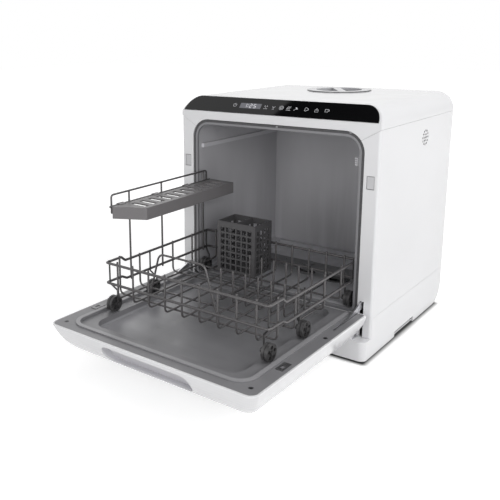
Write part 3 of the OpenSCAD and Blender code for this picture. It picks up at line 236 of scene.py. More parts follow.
# Depths of surface relief in metres
SHELL_PEEL = 0.000002
SHELL_WAVE = 0.00008
LID_GRAIN = 0.000004
PLASTIC_GRAIN = 0.000008
PLASTIC_WAVE = 0.0001
TUB_GRAIN = 0.000006
TUB_WAVE = 0.0003
DOOR_GRAIN = 0.000006
DOOR_WAVE = 0.0002
BRUSHED_LINES = 0.00002
COAT_LUMPS = 0.00006
COAT_GRAIN = 0.00001
RUBBER_GRAIN = 0.00004
WHEEL_GRAIN = 0.00005
GLASS_WAVE = 0.00001
TANK_GRAIN = 0.00005
BOARD_RELIEF = 0.00005

# The vent's centre and reach on the right side panel, and the panel's face
VENT_Y = 0.204
VENT_Z = 0.366
VENT_REACH = 0.017
VENT_FACE = 0.2046
# Painted shade: the dark colour given to the walls of the vent's holes
VENT_HOLE_SHADE = (0.045, 0.045, 0.047)


def vent_walls(tree):
    """1 on the walls of the vent's holes, which get painted shade."""
    return combine(
        tree, "MULTIPLY",
        combine(tree, "MULTIPLY",
                between(tree, along(tree, "Y"), VENT_Y - VENT_REACH, VENT_Y + VENT_REACH),
                between(tree, along(tree, "Z"), VENT_Z - VENT_REACH, VENT_Z + VENT_REACH)),
        between(tree, along(tree, "X"), 0, VENT_FACE),
    )


def gloss_shell(name, tone, vented=False):
    """Glossy moulded shell: faint orange peel, a clear coat, and painted shade inside a vent's
    holes.
    """
    material, tree, shader = new_material(name, coat_weight=0.35, coat_roughness=0.06, ior=1.46)
    colour = mottle(tree, noise(tree, scale=5, detail=2), tone, 0.985, 1.012)
    speck = spread(tree, noise(tree, scale=1400, detail=1), 0, 0.12, start=0.68, end=0.76)
    colour = tint(tree, colour, shade(tone, 0.9), speck)
    if vented:
        # Painted shade: the vent's hole walls are coloured dark
        colour = tint(tree, colour, VENT_HOLE_SHADE, vent_walls(tree))
    marks = noise(tree, scale=16, stretch=(1, 1, 3), detail=3, rough=0.6)
    finish_surface(tree, shader, colour, spread(tree, marks, 0.22, 0.27))
    add_bump(tree, shader, noise(tree, scale=650, detail=1), SHELL_PEEL)
    add_bump(tree, shader, noise(tree, scale=6, detail=1), SHELL_WAVE)
    return material


# Levels over which the lid's wells take painted shade, and how far the painted shadow at its rim
# reaches in from its edge
LID_WELL_SHADE_LEVEL = (0.425, 0.4425)
LID_RIM_SHADE = (0.0016, 0.0008)


def lid_plastic(name, tone):
    """Satin lid plastic with a painted shadow at its rim, and painted shade in its finger wells
    that is greyer the deeper they go.
    """
    material, tree, shader = new_material(name, coat_weight=0.2, coat_roughness=0.1, ior=1.46)
    # Painted shade: the wells darken the deeper they go
    level = spread(tree, along(tree, "Z"), 0.45, 1, *LID_WELL_SHADE_LEVEL)
    cloud = spread(tree, noise(tree, scale=30, detail=3), 0.97, 1.0)
    depth = combine(tree, "MULTIPLY", level, cloud)
    colour = mottle(tree, depth, tone, 0.4, 1, start=0.45, end=1.0)
    low, high = node_box("fill_lid")
    radius = (high.x - low.x) / 2
    from_centre = reach(tree, (1, 1, 0), (low + high) / 2)
    rim = spread(tree, from_centre, 0, 1, *(radius - inset for inset in LID_RIM_SHADE))
    # Painted shadow: a dark band just inside the lid's rim
    colour = tint(tree, colour, shade(tone, 0.2), rim)
    finish_surface(tree, shader, colour, spread(tree, noise(tree, scale=40, detail=3), 0.26, 0.34))
    add_bump(tree, shader, noise(tree, scale=700, detail=1), LID_GRAIN)
    return material


def moulded_plastic(name, tone, rough=(0.36, 0.44), cloud=0.04, edge_shade=None):
    """Moulded plastic: fine grain, flow marks, uneven sheen; painted shade where the optional edge
    mask is 1.
    """
    material, tree, shader = new_material(name, ior=1.49)
    flow = noise(tree, scale=14, stretch=(1, 2.2, 1), detail=4, rough=0.6)
    colour = mottle(tree, flow, tone, 1 - cloud, 1 + cloud, start=0.28, end=0.72)
    speck = spread(tree, noise(tree, scale=1100, detail=1), 0, 0.1, start=0.62, end=0.74)
    colour = tint(tree, colour, shade(tone, 1.3), speck)
    # Painted shade where the edge mask is 1
    if edge_shade:
        colour = tint(tree, colour, shade(tone, 0.45), edge_shade(tree))
    sheen = noise(tree, scale=45, detail=5, rough=0.65)
    finish_surface(tree, shader, colour, spread(tree, sheen, *rough))
    add_bump(tree, shader, noise(tree, scale=900, detail=2), PLASTIC_GRAIN)
    add_bump(tree, shader, noise(tree, scale=12, detail=1), PLASTIC_WAVE)
    return material


# A latch pad's width, and the width of the painted shade along its sides and its ends, in metres
PAD_WIDTH = 0.013
PAD_SHADE_X = 0.0008
PAD_SHADE_Z = 0.0009
PAD_FADE = 0.0004


def pad_edge_shade(tree):
    """1 along the edges of both latch pads' faces, where painted shade goes."""
    low, high = node_box("latch_pads")
    side = combine(tree, "ABSOLUTE", along(tree, "X"))
    outer = high.x - PAD_SHADE_X
    inner = high.x - PAD_WIDTH + PAD_SHADE_X
    far = spread(tree, side, 0, 1, outer, outer + PAD_FADE)
    near = spread(tree, side, 1, 0, inner - PAD_FADE, inner)
    level = between(tree, along(tree, "Z"), low.z + PAD_SHADE_Z, high.z - PAD_SHADE_Z)
    return combine(tree, "MAXIMUM", combine(tree, "MAXIMUM", far, near), opposite(tree, level))


# The tub's front lip, which gets painted shade, the ledge along its left wall, whose face gets a
# painted highlight, and where the film thins out upwards
TUB_LIP_SHADE_Y = (-1, 0.0065)
LEDGE_FACE = (-0.1688, -0.1630)
LEDGE_LEVEL = (0.3387, 0.3464)
FILM_LEVEL = (0.09, 0.3)


def tub_plastic(name, tone, lip_shade_tone, lit_ledge_tone):
    """Grey tub plastic: fine grain, dried water's pale film low down, painted shade on the lip, and
    a painted highlight on the ledge's face.
    """
    material, tree, shader = new_material(name, ior=1.49)
    flow = noise(tree, scale=7, stretch=(1, 1, 0.35), detail=4, rough=0.6)
    colour = mottle(tree, flow, tone, 0.93, 1.07, start=0.25, end=0.75)
    runs = noise(tree, scale=34, stretch=(1, 1, 0.06), detail=3, rough=0.6)
    film = combine(tree, "MULTIPLY", spread(tree, runs, 0, 0.3, start=0.5, end=0.72),
                   spread(tree, along(tree, "Z"), 1, 0, *FILM_LEVEL))
    colour = tint(tree, colour, shade(tone, 1.6), film)
    # Painted shade: the front lip is darkened
    colour = tint(tree, colour, lip_shade_tone, between(tree, along(tree, "Y"), *TUB_LIP_SHADE_Y))
    # Painted highlight: the ledge's face along the left wall is paler
    ledge_highlight = combine(tree, "MULTIPLY", between(tree, along(tree, "X"), *LEDGE_FACE),
                   between(tree, along(tree, "Z"), *LEDGE_LEVEL))
    colour = tint(tree, colour, lit_ledge_tone, ledge_highlight)
    sheen = noise(tree, scale=30, stretch=(1, 1, 0.2), detail=5, rough=0.65)
    finish_surface(tree, shader, colour, spread(tree, sheen, 0.3, 0.46))
    add_bump(tree, shader, noise(tree, scale=1000, detail=2), TUB_GRAIN)
    add_bump(tree, shader, noise(tree, scale=7, detail=1), TUB_WAVE)
    return material


# Levels where the basin's floor ends and the ridge's painted highlight begins, and where the
# painted light at the basin's left end fades
BASIN_LEVEL = (0.0755, 0.0775)
RIDGE_HIGHLIGHT_LEVEL = (0.0895, 0.0912)
BASIN_LIGHT_X = (-0.139, -0.05)


def door_plastic(name, tone, floor_tone, ridge_highlight_tone):
    """Inner door plastic: satin rim, a painted highlight on the ridge's top, painted light at the
    basin's left end, and wiped water marks in the basin.
    """
    material, tree, shader = new_material(name, ior=1.5)
    flow = noise(tree, scale=16, stretch=(0.5, 1, 1), detail=4, rough=0.6)
    rim = mottle(tree, flow, tone, 0.95, 1.05, start=0.25, end=0.75)
    wiped = noise(tree, scale=9, stretch=(0.45, 1.1, 1), detail=3, rough=0.55)
    basin = ramp(tree, wiped, (
        (0.3, shade(floor_tone, 0.84)),
        (0.5, floor_tone),
        (0.72, shade(floor_tone, 1.2)),
    ))
    # Painted light: the basin's left end is paler
    film = combine(tree, "MULTIPLY", spread(tree, wiped, 0.8, 1, start=0.3, end=0.6),
                   spread(tree, along(tree, "X"), 1, 0, *BASIN_LIGHT_X))
    basin = tint(tree, basin, shade(floor_tone, 1.9), film)
    level = along(tree, "Z")
    colour = tint(tree, rim, basin, spread(tree, level, 1, 0, *BASIN_LEVEL))
    # Painted highlight: the top of the ridge is paler
    colour = tint(tree, colour, ridge_highlight_tone, spread(tree, level, 0, 1, *RIDGE_HIGHLIGHT_LEVEL))
    sheen = noise(tree, scale=38, stretch=(0.3, 1, 1), detail=3, rough=0.6)
    finish_surface(tree, shader, colour, spread(tree, sheen, 0.28, 0.42))
    add_bump(tree, shader, noise(tree, scale=850, detail=2), DOOR_GRAIN)
    add_bump(tree, shader, noise(tree, scale=8, stretch=(0.5, 1, 1), detail=1), DOOR_WAVE)
    return material


def brushed_metal(name, tone, grain=(1, 0.04, 1)):
    """Metal with fine lines, stretched along the axis where grain is small."""
    material, tree, shader = new_material(name, metallic=1.0)
    lines = noise(tree, scale=1500, stretch=grain, detail=4, rough=0.6)
    colour = mottle(tree, lines, tone, 0.86, 1.06)
    finish_surface(tree, shader, colour, spread(tree, lines, 0.24, 0.42))
    add_bump(tree, shader, lines, BRUSHED_LINES)
    return material


def coated_wire(name, tone):
    """Nylon dip coating on steel wire: slightly uneven, satin, a little paler where it is thin."""
    material, tree, shader = new_material(name, coat_weight=0.35, coat_roughness=0.2, ior=1.5)
    lumps = noise(tree, scale=240, detail=3)
    sheen = spread(tree, noise(tree, scale=90, detail=4), 0.3, 0.48)
    finish_surface(tree, shader, mottle(tree, lumps, tone, 0.85, 1.2), sheen)
    add_bump(tree, shader, lumps, COAT_LUMPS)
    add_bump(tree, shader, noise(tree, scale=1800, detail=1), COAT_GRAIN)
    return material


def rubber(name, tone):
    """Moulded rubber with a dusty, fine-grained surface."""
    material, tree, shader = new_material(name, ior=1.5)
    dust = noise(tree, scale=220, detail=5, rough=0.7)
    colour = mottle(tree, dust, tone, 0.85, 1.7, start=0.35, end=0.75)
    finish_surface(tree, shader, colour, spread(tree, dust, 0.55, 0.75))
    add_bump(tree, shader, noise(tree, scale=1600, detail=2), RUBBER_GRAIN)
    return material


TREAD_RADIUS = (0.0128, 0.0138)


def wheel_plastic(name, tone, wheel):
    """Moulded wheel plastic, scuffed paler on the tread; wheel is a CAD node on this axle."""
    material, tree, shader = new_material(name, ior=1.49)
    grain = noise(tree, scale=160, detail=4, rough=0.6)
    colour = mottle(tree, grain, tone, 0.82, 1.2)
    low, high = node_box(wheel)
    tread = spread(tree, reach(tree, (0, 1, 1), (low + high) / 2), 0, 1, *TREAD_RADIUS)
    scuff = combine(tree, "MULTIPLY", tread, spread(tree, grain, 0.1, 0.8, start=0.4, end=0.65))
    colour = tint(tree, colour, shade(tone, 2.4), scuff)
    finish_surface(tree, shader, colour, spread(tree, grain, 0.36, 0.55))
    add_bump(tree, shader, noise(tree, scale=900, detail=2), WHEEL_GRAIN)
    return material


def black_glass(name, deep_tone, tone):
    """Black touch panel: deep gloss with faint wipe marks."""
    material, tree, shader = new_material(name, ior=1.4)
    depth = noise(tree, scale=6, stretch=(0.6, 1, 1), detail=2)
    colour = ramp(tree, depth, ((0.3, deep_tone), (0.7, tone)))
    wipes = noise(tree, scale=18, stretch=(0.4, 3, 3), detail=6, rough=0.7)
    finish_surface(tree, shader, colour, spread(tree, wipes, 0.03, 0.085))
    add_bump(tree, shader, noise(tree, scale=40, detail=1), GLASS_WAVE)
    return material


def frosted_plastic(name, tone):
    """Translucent tank plastic."""
    material, tree, shader = new_material(name, transmission_weight=0.35, ior=1.48)
    cloud = noise(tree, scale=12, detail=3)
    finish_surface(tree, shader, mottle(tree, cloud, tone, 0.93, 1), spread(tree, cloud, 0.35, 0.5))
    add_bump(tree, shader, noise(tree, scale=500, detail=2), TANK_GRAIN)
    return material


def circuit_board(name, tone):
    """Green solder mask with paler copper runs."""
    material, tree, shader = new_material(name, ior=1.5)
    bricks = tree.nodes.new("ShaderNodeTexBrick")
    bricks.inputs["Scale"].default_value = 160
    bricks.inputs["Mortar Size"].default_value = 0.06
    for key, factor in (("Color1", 1), ("Color2", 1.15), ("Mortar", 2.2)):
        bricks.inputs[key].default_value = (*shade(tone, factor), 1)
    tree.links.new(object_point(tree), bricks.inputs["Vector"])
    sheen = spread(tree, noise(tree, scale=80, detail=3), 0.3, 0.45)
    finish_surface(tree, shader, bricks.outputs["Color"], sheen)
    add_bump(tree, shader, bricks.outputs["Fac"], BOARD_RELIEF)
    return material


def printed_ink(name, tone, glow):
    """Screen-printed, back-lit marks on the panel."""
    material, tree, shader = new_material(name, emission_strength=glow, ior=1.4)
    shader.inputs["Emission Color"].default_value = (*tone, 1)
    speckle = noise(tree, scale=2600, detail=2)
    colour = mottle(tree, speckle, tone, 0.8, 1)
    finish_surface(tree, shader, colour, spread(tree, speckle, 0.35, 0.5))
    return material


SHELL_WHITE = (0.80, 0.80, 0.815)
LID_WHITE = (0.60, 0.60, 0.62)
REAR_GREY = (0.6, 0.6, 0.61)
PAD_GREY = (0.6, 0.6, 0.615)
RECESS_GREY = (0.60, 0.595, 0.62)
TUB_GREY = (0.49, 0.487, 0.507)
# Painted shade of the tub's lip
LIP_SHADE_GREY = (0.23, 0.228, 0.24)
# Painted highlight of the tub's ledge, and the wall clip's own grey
LIT_LEDGE_AND_CLIP_GREY = (0.62, 0.615, 0.64)
STUD_GREY = (0.3, 0.297, 0.31)
GASKET_GREY = (0.06, 0.059, 0.062)
RIM_GREY = (0.20, 0.198, 0.208)
BASIN_GREY = (0.195, 0.194, 0.204)
# Painted highlight on the door's ridge
RIDGE_HIGHLIGHT_GREY = (0.31, 0.307, 0.32)
STEEL = (0.62, 0.62, 0.64)
STRIKE_STEEL = (0.2, 0.2, 0.205)
SCREW_STEEL = (0.09, 0.09, 0.095)
SPRING_STEEL = (0.4, 0.4, 0.41)
WIRE_GREY = (0.066, 0.062, 0.064)
TRAY_GREY = (0.155, 0.148, 0.152)
CUTLERY_GREY = (0.075, 0.073, 0.076)
WHEEL_GREY = (0.035, 0.034, 0.035)
ARM_GREY = (0.13, 0.13, 0.135)
PUMP_GREY = (0.12, 0.12, 0.125)
HARDWARE_BLACK = (0.03, 0.03, 0.031)
GLASS_DEEP = (0.0035, 0.0035, 0.004)
GLASS_BLACK = (0.005, 0.005, 0.0055)
FOOT_BLACK = (0.03, 0.03, 0.03)
HOSE_BLACK = (0.02, 0.02, 0.02)
INLET_BLUE = (0.03, 0.06, 0.26)
TANK_WHITE = (0.7, 0.73, 0.76)
BOARD_GREEN = (0.01, 0.09, 0.03)
INK_WHITE = (0.5, 0.5, 0.52)
WINDOW_GREY = (0.085, 0.085, 0.095)
FIGURE_WHITE = (0.72, 0.72, 0.75)
SPRING_GRAIN = (1, 1, 1)


def make_materials():
    """Every CAD node's material, by node name."""
    shell = gloss_shell("shell_white", SHELL_WHITE)
    steel = brushed_metal("steel", STEEL)
    wire_coat = coated_wire("wire_coat", WIRE_GREY)
    hardware = moulded_plastic("hardware_black", HARDWARE_BLACK)
    pump_grey = moulded_plastic("pump_grey", PUMP_GREY)
    arm_grey = moulded_plastic("arm_grey", ARM_GREY, cloud=0.1)
    circuit = circuit_board("circuit", BOARD_GREEN)
    carrier = moulded_plastic("carrier_grey", WHEEL_GREY, cloud=0.15)
    materials = {
        "base_pan": shell, "side_panel_left": shell, "top_cover": shell,
        "side_panel_right": gloss_shell("vent_white", SHELL_WHITE, vented=True),
        "rubber_feet": rubber("foot_rubber", FOOT_BLACK),
        "rear_panel": moulded_plastic("rear_grey", REAR_GREY, rough=(0.45, 0.6)),
        "control_glass": black_glass("panel_glass", GLASS_DEEP, GLASS_BLACK),
        "control_board": circuit, "display_board": circuit,
        "tub": tub_plastic("tub_plastic", TUB_GREY, LIP_SHADE_GREY, LIT_LEDGE_AND_CLIP_GREY),
        "tub_gasket": rubber("gasket_rubber", GASKET_GREY),
        "water_tank": frosted_plastic("tank_plastic", TANK_WHITE),
        "sump": pump_grey, "spray_post": arm_grey, "spray_arm": arm_grey, "sump_filter": arm_grey,
        "wash_pump": pump_grey, "drain_pump": pump_grey, "heater": steel,
        "pump_impeller": moulded_plastic("pad_grey", PAD_GREY),
        "hoses": rubber("hose_rubber", HOSE_BLACK),
        "drain_outlet": hardware, "power_inlet": hardware, "door_latches": hardware,
        "fan_shroud": hardware, "fan_rotor": hardware,
        "latch_pads": moulded_plastic("latch_pad_grey", PAD_GREY, edge_shade=pad_edge_shade),
        "water_inlet": moulded_plastic("inlet_blue", INLET_BLUE),
        "hinge_brackets": steel, "hinge_arms": steel, "hinge_pins": steel, "cover_screws": steel,
        "strike_plates": brushed_metal("strike_steel", STRIKE_STEEL),
        "door_screws": brushed_metal("screw_dark", SCREW_STEEL),
        "door_springs": brushed_metal("spring_steel", SPRING_STEEL, SPRING_GRAIN),
        "door_outer_panel": gloss_shell("door_white", SHELL_WHITE),
        "door_inner_panel": door_plastic("door_plastic", RIM_GREY, BASIN_GREY, RIDGE_HIGHLIGHT_GREY),
        "door_handle": moulded_plastic("recess_grey", RECESS_GREY, cloud=0.03),
        "front_axle_pins": carrier, "rear_axle_pins": carrier, "wheel_carriers": carrier,
        "basket_rails": wire_coat, "basket_floor": wire_coat, "plate_rack": wire_coat,
        "bowl_hoop": wire_coat, "shelf_posts": wire_coat,
        "cup_shelf": moulded_plastic("tray_grey", TRAY_GREY),
        "cutlery_basket": moulded_plastic("cutlery_grey", CUTLERY_GREY),
        "fill_lid": lid_plastic("lid_white", LID_WHITE),
    }
    for place in ("front", "middle", "rear"):
        rolling = wheel_plastic(f"wheel_{place}", WHEEL_GREY, f"wheel_{place}_left")
        for side in ("left", "right"):
            materials[f"wheel_{place}_{side}"] = rolling
    return materials


def dress(node, material):
    """The node keeps its mesh and gets its material."""
    mesh = NODES[node].data
    mesh.materials.clear()
    mesh.materials.append(material)


# ---------------------------------------------------------------- control panel

# The glass leans back from its foot; places on it are in millimetres
SLOPE_FOOT = Vector((0, 0, 412 * MM))
SLOPE_UP = Vector((0, 24, 28)).normalized()
SLOPE_OUT = Vector((0, -28, 24)).normalized()
GLASS_PROUD = 1.2 * MM
INK_HEIGHT = 0.06 * MM
STROKE = 0.75
ICON_ROW = 18.2


def on_panel(x, s, lift):
    """A point of the panel: x to the right and s up the slope in millimetres, lift in metres."""
    across = Vector((x * MM, 0, 0))
    return SLOPE_FOOT + across + SLOPE_UP * (s * MM) + SLOPE_OUT * (GLASS_PROUD + lift)


def around(x, s, radius, turn):
    """The point of a circle at turn degrees from the right, anticlockwise."""
    angle = math.radians(turn)
    return x + radius * math.cos(angle), s + radius * math.sin(angle)


def arc(x, s, radius, start, end, steps=16):
    """Points along a circle from one turn to another."""
    return [around(x, s, radius, start + (end - start) * step / steps) for step in range(steps + 1)]


def prism(mesh, outline):
    """A thin raised plate with this outline on the glass."""
    low = [mesh.verts.new(on_panel(x, s, -INK_HEIGHT)) for x, s in outline]
    high = [mesh.verts.new(on_panel(x, s, INK_HEIGHT)) for x, s in outline]
    mesh.faces.new(high)
    mesh.faces.new(low[::-1])
    for index in range(len(outline)):
        after = (index + 1) % len(outline)
        mesh.faces.new((low[index], low[after], high[after], high[index]))


def stroke(mesh, points, width=STROKE):
    """A ribbon of that width along the points, mitred where it turns."""
    left, right = [], []
    last = len(points) - 1
    for index, (x, s) in enumerate(points):
        back = points[max(index - 1, 0)]
        ahead = points[min(index + 1, last)]
        forward = Vector((ahead[0] - back[0], ahead[1] - back[1])).normalized()
        across = Vector((-forward.y, forward.x)) * (width / 2)
        left.append((x + across.x, s + across.y))
        right.append((x - across.x, s - across.y))
    prism(mesh, right + left[::-1])


def mesh_data(name, mesh, material):
    """Mesh data with one material, from a finished bmesh."""
    data = bpy.data.meshes.new(name)
    mesh.to_mesh(data)
    mesh.free()
    data.materials.append(material)
    return data


def panel_piece(name, material, draw, *shape):
    """One object on the glass, drawn by draw(mesh, *shape)."""
    mesh = bmesh.new()
    draw(mesh, *shape)
    bmesh.ops.recalc_face_normals(mesh, faces=mesh.faces)
    piece = new_object(name, mesh_data(name, mesh, material))
    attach(piece, "cabinet")
    return piece


# Each icon's place along the panel, its lines and its filled outlines, around its own centre
ICONS = {
    "power": (-87, [arc(0, 0, 3.4, 120, 420), [(0, 0.6), (0, 4.4)]], []),
    "drops": (-19.6, [[(x, s + 2.4), (x, s - 1.2)] for x, s in ((-2.6, 1), (0, -1), (2.6, 1))]
              + [[(-4, -4), (4, -4)]], []),
    "glass": (-3.3, [arc(0, 1.8, 2.4, 170, 370), [(0, -0.6), (0, -4)], [(-2, -4), (2, -4)]], []),
    "plate": (12.5, [arc(0, 0, 4, 0, 360, 24), arc(0, 0, 2, 0, 360)], []),
    "steam": (27.5, [arc(x, -1, 1.4, 250, 100, 8) + arc(x - 0.6, 2.6, 1.6, -60, 60, 8)
                     for x in (-2.6, 0, 2.6)] + [[(-4.4, -4.2), (4.4, -4.2)]], []),
    "leaf": (42.6, [[(-4, -3.6), (1, 0)]],
             [arc(-1.2, -1.4, 4.4, 5, 85, 10) + arc(2.9, 2.9, 4.4, 185, 265, 10)]),
    "fan": (62.6, [arc(*around(0, 0, 2, turn), 1.9, turn - 110, turn + 110, 12)
                   for turn in (0, 120, 240)], []),
    "lock": (82.8, [[(-3.2, -4), (3.2, -4), (3.2, 0), (-3.2, 0), (-3.2, -4)],
                    arc(0, 0.6, 2, 0, 180, 10)], []),
    "cup": (101.7, [[(-3.4, 2.6), (-2.8, -2.6), (2.2, -2.6), (2.8, 2.6), (-3.4, 2.6)],
                    arc(2.9, 0.4, 1.7, -80, 80, 8)], []),
}


def draw_icon(mesh, place, lines, outlines):
    """An icon's lines and filled outlines at its place in the row."""
    for draw, shapes in ((prism, outlines), (stroke, lines)):
        for points in shapes:
            draw(mesh, [(place + x, ICON_ROW + s) for x, s in points])


# The display's window (left, right, low, high), its figures and the colon between them
WINDOW = (-75.5, -30, 12.6, 23.8)
WINDOW_R = 1
DIGIT_W = 4.6
DIGIT_H = 4.1
DIGIT_LOW = 14.2
DIGIT_STROKE = 0.9
DIGIT_GAP = 0.45
DIGITS = ((-66, "1"), (-54.6, "2"), (-46, "5"))
COLON_X = -58
COLON_LEVELS = (2.2, 6)
COLON_R = 0.6
SEGMENTS = {"1": "bc", "2": "abged", "5": "afgcd"}


def digit(mesh, x, figure):
    """A seven-segment figure whose left edge is at x."""
    low, middle, high = DIGIT_LOW, DIGIT_LOW + DIGIT_H, DIGIT_LOW + 2 * DIGIT_H
    right = x + DIGIT_W
    ends = {
        "a": ((x, high), (right, high)), "b": ((right, high), (right, middle)),
        "c": ((right, middle), (right, low)), "d": ((right, low), (x, low)),
        "e": ((x, low), (x, middle)), "f": ((x, middle), (x, high)),
        "g": ((x, middle), (right, middle)),
    }
    for segment in SEGMENTS[figure]:
        first, second = (Vector(end) for end in ends[segment])
        step = (second - first).normalized() * DIGIT_GAP
        stroke(mesh, [tuple(first + step), tuple(second - step)], DIGIT_STROKE)


def display_digits(mesh):
    """The time left, as a clock shows it."""
    for x, figure in DIGITS:
        digit(mesh, x, figure)
    for level in COLON_LEVELS:
        prism(mesh, arc(COLON_X, DIGIT_LOW + level, COLON_R, 0, 315, 7))


def display_window(mesh):
    """The grey window behind the figures, with rounded corners."""
    left, right, low, high = WINDOW
    corners = (
        (right - WINDOW_R, high - WINDOW_R, 0), (left + WINDOW_R, high - WINDOW_R, 90),
        (left + WINDOW_R, low + WINDOW_R, 180), (right - WINDOW_R, low + WINDOW_R, 270),
    )
    outline = []
    for x, s, turn in corners:
        outline += arc(x, s, WINDOW_R, turn, turn + 90, 4)
    prism(mesh, outline)


def make_panel():
    """The generic icons and the time display on the control glass."""
    ink = printed_ink("panel_ink", INK_WHITE, glow=0.25)
    window = printed_ink("display_window", WINDOW_GREY, glow=0.9)
    lit = printed_ink("display_figures", FIGURE_WHITE, glow=0.5)
    for name, shape in ICONS.items():
        panel_piece(f"icon_{name}", ink, draw_icon, *shape)
    panel_piece("display_window", window, display_window)
    digits = panel_piece("display_digits", lit, display_digits)
    digits.matrix_world = Matrix.Translation(SLOPE_OUT * INK_HEIGHT) @ digits.matrix_world


# ---------------------------------------------------------------- basket wires

# Centre lines of the wires in millimetres, as the CAD has them; a pair is front and rear
SIDE = 163.5
FRONT = -265.5
REAR = 26.5
STEP = -223.5
TOP_LEVEL = (176, 168)
TOP_STEP = (5, 5)
LOW_LEVEL = (140, 134)
LOW_STEP = (4, 8)
RAIL_RADIUS = 2.3
RAIL_BEND = 5
GRID_RADIUS = 1.75
GRID_BEND = 10
GRID_RISE = 3.5
GRID_SIDE = 160.3
GRID_FRONT = -262.3
GRID_REAR = 23.3
CROSS_LEVEL = 112
LONG_LEVEL = 114.7
CROSS_PLACES = (-236, -184, -90, -30)
LONG_PITCH = 35
LONG_EACH_SIDE = 4
HOOP = ((-92, 110.5), (-66, 203), (28, 203), (56, 110.5))
HOOP_Y = -238.7
HOOP_BEND = 14
TINE_FIRST = -4
TINE_PITCH = 25
TINE_COUNT = 7
TINE_ENDS = (-150, -60)
TINE_FOOT = 109.3
TINE_TIP = 165.3
TINE_RADIUS = 1.6
TINE_BEND = 6
POST_X = -160
POST_PLACES = (-207.5, -120.5, 6.5)
POST_FOOT = 132
GUARD_ENDS = (-251.5, 17.5)
GUARD_FOOT = 261.8
GUARD_LEVEL = 292.8
GUARD_BEND = 6
HINGE_PLACE = (-156.8, 273.8)
HINGE_ENDS = (-257.5, 23.5)
HINGE_RADIUS = 2.0
BEND_STEPS = 6
BEND_SHARE = 0.45
CAP_STEPS = ((0.87, 0.5), (0.5, 0.87), (0.0, 1.0))
WIRE_RESOLUTION = 3


def rounded(points, radius, closed=False):
    """The points with every corner bent to that radius, or less where a run is short."""
    corners = [Vector(point) for point in points]
    count = len(corners)
    turns = range(count) if closed else range(1, count - 1)
    path = [] if closed else corners[:1]
    for index in turns:
        corner = corners[index]
        back = corners[index - 1] - corner
        ahead = corners[(index + 1) % count] - corner
        cut = radius / math.tan(back.angle(ahead) / 2)
        start = corner + back.normalized() * min(cut, back.length * BEND_SHARE)
        end = corner + ahead.normalized() * min(cut, ahead.length * BEND_SHARE)
        for step in range(BEND_STEPS + 1):
            share = step / BEND_STEPS
            path.append(start.lerp(corner, share).lerp(corner.lerp(end, share), share))
    return path if closed else path + corners[-1:]


def domed(path, radius):
    """Points and radius factors of an open wire whose ends are rounded over."""
    domes = []
    for end, beyond in ((path[0], path[0] - path[1]), (path[-1], path[-1] - path[-2])):
        out = beyond.normalized() * radius
        domes.append([(end + out * rise, factor) for factor, rise in CAP_STEPS])
    return domes[0][::-1] + [(point, 1.0) for point in path] + domes[1]


def wire_piece(name, node, radius, paths, material, closed=False):
    """Round coated wires along the paths, in place of a basket node."""
    data = bpy.data.curves.new(name, "CURVE")
    data.dimensions = "3D"
    data.bevel_depth = radius * MM
    data.bevel_resolution = WIRE_RESOLUTION
    for path in paths:
        places = [(point, 1.0) for point in path] if closed else domed(path, radius)
        spline = data.splines.new("POLY")
        spline.points.add(len(places) - 1)
        for point, (place, factor) in zip(spline.points, places):
            point.co = (*(place * MM), 1)
            point.radius = factor
        spline.use_cyclic_u = closed
    data.materials.append(material)
    piece = new_object(name, data)
    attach(piece, "basket")
    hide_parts(node)


def rail_path(levels, step_runs):
    """A rail's bent loop; step_runs is its step's reach before and behind the step's middle."""
    front, rear = levels
    front_run, rear_run = step_runs
    half = [(SIDE, REAR, rear), (SIDE, STEP + rear_run, rear), (SIDE, STEP - front_run, front),
            (SIDE, FRONT, front)]
    return rounded(half + [(-x, y, z) for x, y, z in reversed(half)], RAIL_BEND, closed=True)


def grid_paths():
    """The floor wires: across the basket, then along it, each turned up to a top rail."""
    paths = []
    for y in CROSS_PLACES:
        top = TOP_LEVEL[0 if y < STEP else 1] + GRID_RISE
        paths.append([(-GRID_SIDE, y, top), (-GRID_SIDE, y, CROSS_LEVEL),
                      (GRID_SIDE, y, CROSS_LEVEL), (GRID_SIDE, y, top)])
    for index in range(-LONG_EACH_SIDE, LONG_EACH_SIDE + 1):
        x = LONG_PITCH * index
        paths.append([(x, GRID_FRONT, TOP_LEVEL[0] + GRID_RISE), (x, GRID_FRONT, LONG_LEVEL),
                      (x, GRID_REAR, LONG_LEVEL), (x, GRID_REAR, TOP_LEVEL[1] + GRID_RISE)])
    return [rounded(path, GRID_BEND) for path in paths]


def tine_paths():
    """The plate rack: one wire for each pair of tines."""
    front, rear = TINE_ENDS
    places = [TINE_FIRST + TINE_PITCH * index for index in range(TINE_COUNT)]
    return [rounded([(x, front, TINE_TIP), (x, front, TINE_FOOT), (x, rear, TINE_FOOT),
                     (x, rear, TINE_TIP)], TINE_BEND) for x in places]


def post_paths():
    """The shelf's guard wire and the posts under it."""
    front, rear = GUARD_ENDS
    guard = rounded([(POST_X, front, GUARD_FOOT), (POST_X, front, GUARD_LEVEL),
                     (POST_X, rear, GUARD_LEVEL), (POST_X, rear, GUARD_FOOT)], GUARD_BEND)
    posts = [[Vector((POST_X, y, z)) for z in (POST_FOOT, GUARD_LEVEL)] for y in POST_PLACES]
    return [guard] + posts


